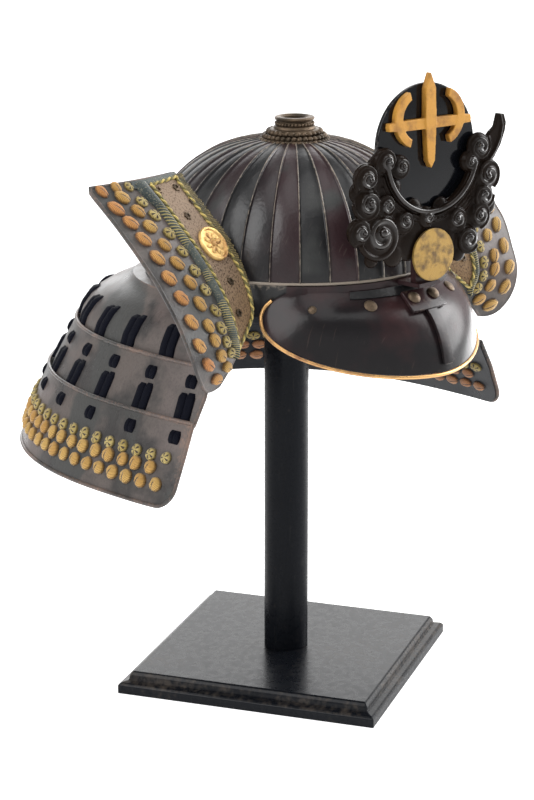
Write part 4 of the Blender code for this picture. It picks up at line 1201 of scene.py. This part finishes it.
paint = Finish("teal_silk_piping", 0.72, 45.0)
teal = paint.material
lay, across, along = paint.weave()
where = paint.node("TexNoise", {"W": along, "Scale": 34.0, "Detail": 0.0}, "Fac", noise_dimensions="1D")
slant = paint.add(paint.add(paint.times(across, 0.9), along), paint.times(paint.clouds, 0.0018))
gold_thread = paint.times(paint.between(paint.waves(slant, 0.0021), 0.25, 0.75), paint.between(where, 0.47, 0.56))
base = paint.layer(paint.clouds, 0.35, 0.65, (0.016, 0.028, 0.030), (0.075, 0.090, 0.082))
base = paint.layer(paint.grain, 0.54, 0.66, base, (0.17, 0.16, 0.11))
paint.give(Base_Color=paint.mix(gold_thread, base, (0.42, 0.34, 0.12)), Sheen_Weight=0.3)
paint.raise_by(paint.add(gold_thread, paint.times(paint.grain, 0.4)), 0.0005)

paint = Finish("yellow_green_cord", 0.60, 130.0)
gold_cord = paint.material
# painted shade: the second strand of each cord is painted dark, for the dark gaps between the twists
base = paint.mix(paint.attribute("shade"), (0.62, 0.48, 0.15), (0.17, 0.150, 0.055))
paint.give(Base_Color=paint.layer(paint.clouds, 0.5, 0.7, base, (0.24, 0.20, 0.08)))
paint.raise_by(paint.grain, 0.0003)

paint = Finish("gold_thread_border", 0.66, 80.0)
fringe_silk = paint.material
lay, across, along = paint.weave()
slant = paint.add(paint.add(paint.times(across, 0.8), along), paint.times(paint.clouds, 0.0022))
wraps = paint.waves(slant, 0.0016)
base = paint.layer(wraps, -0.4, 0.6, (0.085, 0.066, 0.034), (0.40, 0.31, 0.125))
paint.give(Base_Color=paint.layer(paint.clouds, 0.5, 0.68, base, (0.10, 0.095, 0.060)))
paint.raise_by(wraps, 0.0005)

paint = Finish("chased_gold", 0.34, 120.0, metallic=0.75)
bright_gold = paint.material
paint.give(Base_Color=paint.layer(paint.clouds, 0.45, 0.7, (0.80, 0.54, 0.21), (0.46, 0.25, 0.10)))
paint.rough(paint.grain, 0.3, 0.7, 0.28, 0.5)
paint.raise_by(paint.grain, 0.0002)


def strip(name, shares, acrosses, lift, sign, thickness, width, profile=None):
    """A sheet on a wing, laid at a height over it, with UVs in metres across and along"""
    rows, uvs = [], []
    for share in shares:
        places = acrosses(share)
        rows.append([over_wing(share, across, lift + (profile[number] if profile else 0.0), sign)
                     for number, across in enumerate(places)])
        uvs += [(number / (len(places) - 1) * width, share * 0.17) for number in range(len(places))]
    made = laid_plate(name, rows)
    lay_thread(made, uvs)
    faces_away_from(made, (0, 0.2, 0.35))
    if thickness:
        thicken(made, thickness)
    else:
        only(made)
        smooth()
    return made


def twisted_cord(name, points, radius, pitch):
    """Two strands laid up round a line"""
    lengths = [0.0]
    for a, b in zip(points[:-1], points[1:]):
        lengths.append(lengths[-1] + (b - a).length)
    strands = []
    for start in (0, math.pi):
        line, index = [], 0
        for run in spread(0, lengths[-1], int(lengths[-1] / pitch * 9)):
            while index < len(points) - 2 and run > lengths[index + 1]:
                index += 1
            a, b = points[index], points[index + 1]
            part = (run - lengths[index]) / max(1e-9, lengths[index + 1] - lengths[index])
            along = (b - a).normalized()
            side = along.cross(Vector((0, -0.9, 0.2))).normalized()
            outward = side.cross(along).normalized()
            turn = start + 2 * math.pi * run / pitch
            line.append(a.lerp(b, part) + (side * math.cos(turn) + outward * math.sin(turn)) * radius * 0.8)
        strand = thick_line(name, line, radius, ring=1)
        # the second strand is marked 1, which the cord's material paints dark as shade
        write_values(strand, "shade", [start / math.pi] * len(strand.data.vertices))
        strands.append(strand)
    return joined(strands, name)


def star_rivet(at, normal):
    """A little dark bronze star with a hollow middle"""
    bpy.ops.mesh.primitive_circle_add(vertices=12, radius=1, fill_type="NGON")
    made = bpy.context.object
    for number, point in enumerate(made.data.vertices):
        point.co = point.co.normalized() * (0.0034 if number % 2 else 0.0025)
    in_edit(extruded(0.0011), ("inset", {"thickness": 0.0011, "depth": 0.0003}),
            ("inset", {"thickness": 0.0003, "depth": -0.0011}))
    return stand_on(made, at, normal)


def rosette(name, at, normal, long_way):
    """A gold disc with a raised rim and a plain flower of eight petals"""
    bpy.ops.mesh.primitive_cylinder_add(vertices=64, radius=0.0140, depth=0.0018, end_fill_type="NGON",
                                        location=(0, 0, 0.0009))
    made = bpy.context.object
    bpy.ops.object.transform_apply(location=True)
    pick_top(made)
    in_edit(*[("inset", {"thickness": thickness, "depth": depth})
              for thickness, depth in ((0.0006, 0.0009), (0.0014, 0.0), (0.0007, -0.0013))], select=None)
    parts = [made]
    for angle in [math.pi / 4 * number for number in range(8)]:
        parts.append(ball((0.0062 * math.cos(angle), 0.0062 * math.sin(angle), 0.0016), (0.0034, 0.0021, 0.0010),
                          16, 8, (0, 0, angle)))
    parts.append(ball((0, 0, 0.0016), (0.0023, 0.0023, 0.0014), 16, 8))
    whole = joined(parts, name)
    smooth(45)
    side = normal.cross(long_way).normalized()
    turn = Matrix((side.cross(normal), side, normal)).transposed().to_4x4()
    whole.data.transform(Matrix.Translation(at) @ turn)
    return whole


# shares along and across a wing of its knots and of its star rivets, set after the photograph
outer_knots = [(0.983, 0.095), (0.917, 0.105), (0.86, 0.135), (0.805, 0.145), (0.743, 0.155), (0.645, 0.135),
               (0.515, 0.145), (0.398, 0.125), (0.288, 0.11), (0.173, 0.135), (0.062, 0.16)]
second_knots = [(0.988, 0.25), (0.948, 0.245), (0.885, 0.29), (0.825, 0.295), (0.758, 0.305), (0.67, 0.31),
                (0.535, 0.32), (0.422, 0.305), (0.315, 0.29), (0.235, 0.30), (0.135, 0.32), (0.045, 0.34)]
round_knots = [(0.982, 0.385), (0.912, 0.40), (0.848, 0.425), (0.775, 0.44), (0.69, 0.445), (0.555, 0.445),
               (0.443, 0.44), (0.333, 0.44), (0.245, 0.43), (0.16, 0.44), (0.08, 0.46)]
stars = [(0.932, 0.645), (0.907, 0.87), (0.805, 0.945), (0.853, 0.595), (0.772, 0.76), (0.352, 0.76), (0.20, 0.70),
         (0.60, 0.60), (0.44, 0.93)]
puff = [0.0, 0.0019, 0.0031, 0.0038, 0.0042, 0.0043, 0.0042, 0.0038, 0.0031, 0.0019, 0.0]
cord_lift = 0.0026


def leather_across(share):
    return spread(0.585 + 0.03 * math.sin(math.pi * share), 0.955, 12)


def border_across(share):
    """From under the inner cord out past the metal's edge, ragged there and wider towards the top"""
    hang = min(0.055, max(0.010, 0.055 * (share - 0.22) / 0.25))
    return spread(0.935, 1.0 + hang * (0.75 + 0.5 * ragged.random()), 8)


def piping_across(share):
    """Where the piping lies, bowed a little at the top"""
    top = max(0.0, (share - 0.86) / 0.13)
    middle, half = 0.548 - 0.035 * top, 0.043 + 0.040 * top
    return spread(middle - half, middle + half, 10)


for side, sign in sides:
    wing = plate_of(f"wing_{side}", [[wing_point(share, across, sign) for across in spread(0, 1, 24)]
                                     for share in spread(0, 1, 60)], (0, 0.3, 0.35), 0.0028)
    mark_edges(wing, 0.0)
    own_up(wing, russet, f"turnback_{side}", slot="russet_lames")
    rim = [(share, 0) for share in spread(0, 1, 60)] + [(1, across) for across in spread(0, 1, 24)[1:]]
    rim += [(share, 1) for share in spread(1, 0, 60)[1:]] + [(0, across) for across in spread(1, 0, 24)[1:-1]]
    back_by = Vector((0, 0.0013, 0))
    roll = thick_line(f"wing_rolled_edge_{side}", [wing_point(*at, sign) + back_by for at in rim], 0.0015, closed=True)
    mark_edges(roll, 0.45)
    own_up(roll, russet, slot="russet_lames")

    own_up(strip(f"wing_leather_{side}", spread(0.055, 0.968, 60), leather_across, 0.0017, sign, 0.0013, 0.030),
           leather, f"leather_panel_{side}", slot="printed_leather")
    ragged = random.Random(11)
    own_up(strip(f"wing_gold_border_{side}", spread(0.05, 0.985, 150), border_across, 0.0018, sign, 0.0016, 0.009),
           fringe_silk)
    own_up(strip(f"wing_teal_cap_{side}", [0.968, 0.975, 0.985, 0.995, 1.0], lambda share: spread(0.42, 0.995, 20),
                 0.0016, sign, 0.0013, 0.045), teal)
    own_up(strip(f"wing_piping_{side}", spread(0.02, 0.985, 70), piping_across, 0.0001, sign, 0, 0.008, puff), teal)

    runs = ([(share, 0.607 - 0.02 * (1 - share) - 0.03 * max(0, 0.4 - share)) for share in spread(0.965, 0.05, 60)],
            [(0.048, across) for across in spread(0.577, 0.945, 16)],
            [(share, 0.945) for share in spread(0.05, 0.965, 60)],
            [(0.966, across) for across in spread(0.945, 0.607, 16)])
    cords = [twisted_cord(f"wing_cord_{side}", [over_wing(*at, cord_lift, sign) for at in run], 0.00085, 0.0072)
             for run in runs]
    own_up(joined(cords, f"wing_cord_{side}"), gold_cord)

    for name, places, half, material in (
            ("outer", outer_knots, (0.0073, 0.0047, 0.0040), orange if side == "right" else ochre),
            ("second", second_knots, (0.0066, 0.0046, 0.0038), ochre),
            ("round", round_knots, (0.0056, 0.0043, 0.0029), yellow_green)):
        settings = []
        for share, across in places:
            up_way, inward, normal = wing_look(share, across, sign)
            size = [value * chance.uniform(0.94, 1.06) for value in half]
            if share > 0.97:
                size = [value * 0.8 for value in size]
            long_way = (-up_way).lerp(inward, 0.30 + chance.uniform(-0.07, 0.07))
            settings.append((over_wing(share, across, 0.0006, sign), long_way, normal, size))
        sewn(f"wing_knots_{name}_{side}", settings, material)

    rivets = [star_rivet(over_wing(*at, 0.0017, sign), wing_look(*at, sign)[2]) for at in stars]
    own_up(joined(rivets, f"wing_star_rivets_{side}"), bronze, slot="old_bronze")
    middle = (0.560, 0.810)
    up_way, inward, normal = wing_look(*middle, sign)
    own_up(rosette(f"wing_rosette_{side}", over_wing(*middle, 0.0018, sign), normal, up_way), bright_gold,
           f"rosette_{side}", slot="old_gold")

bpy.data.objects.remove(pad, do_unlink=True)
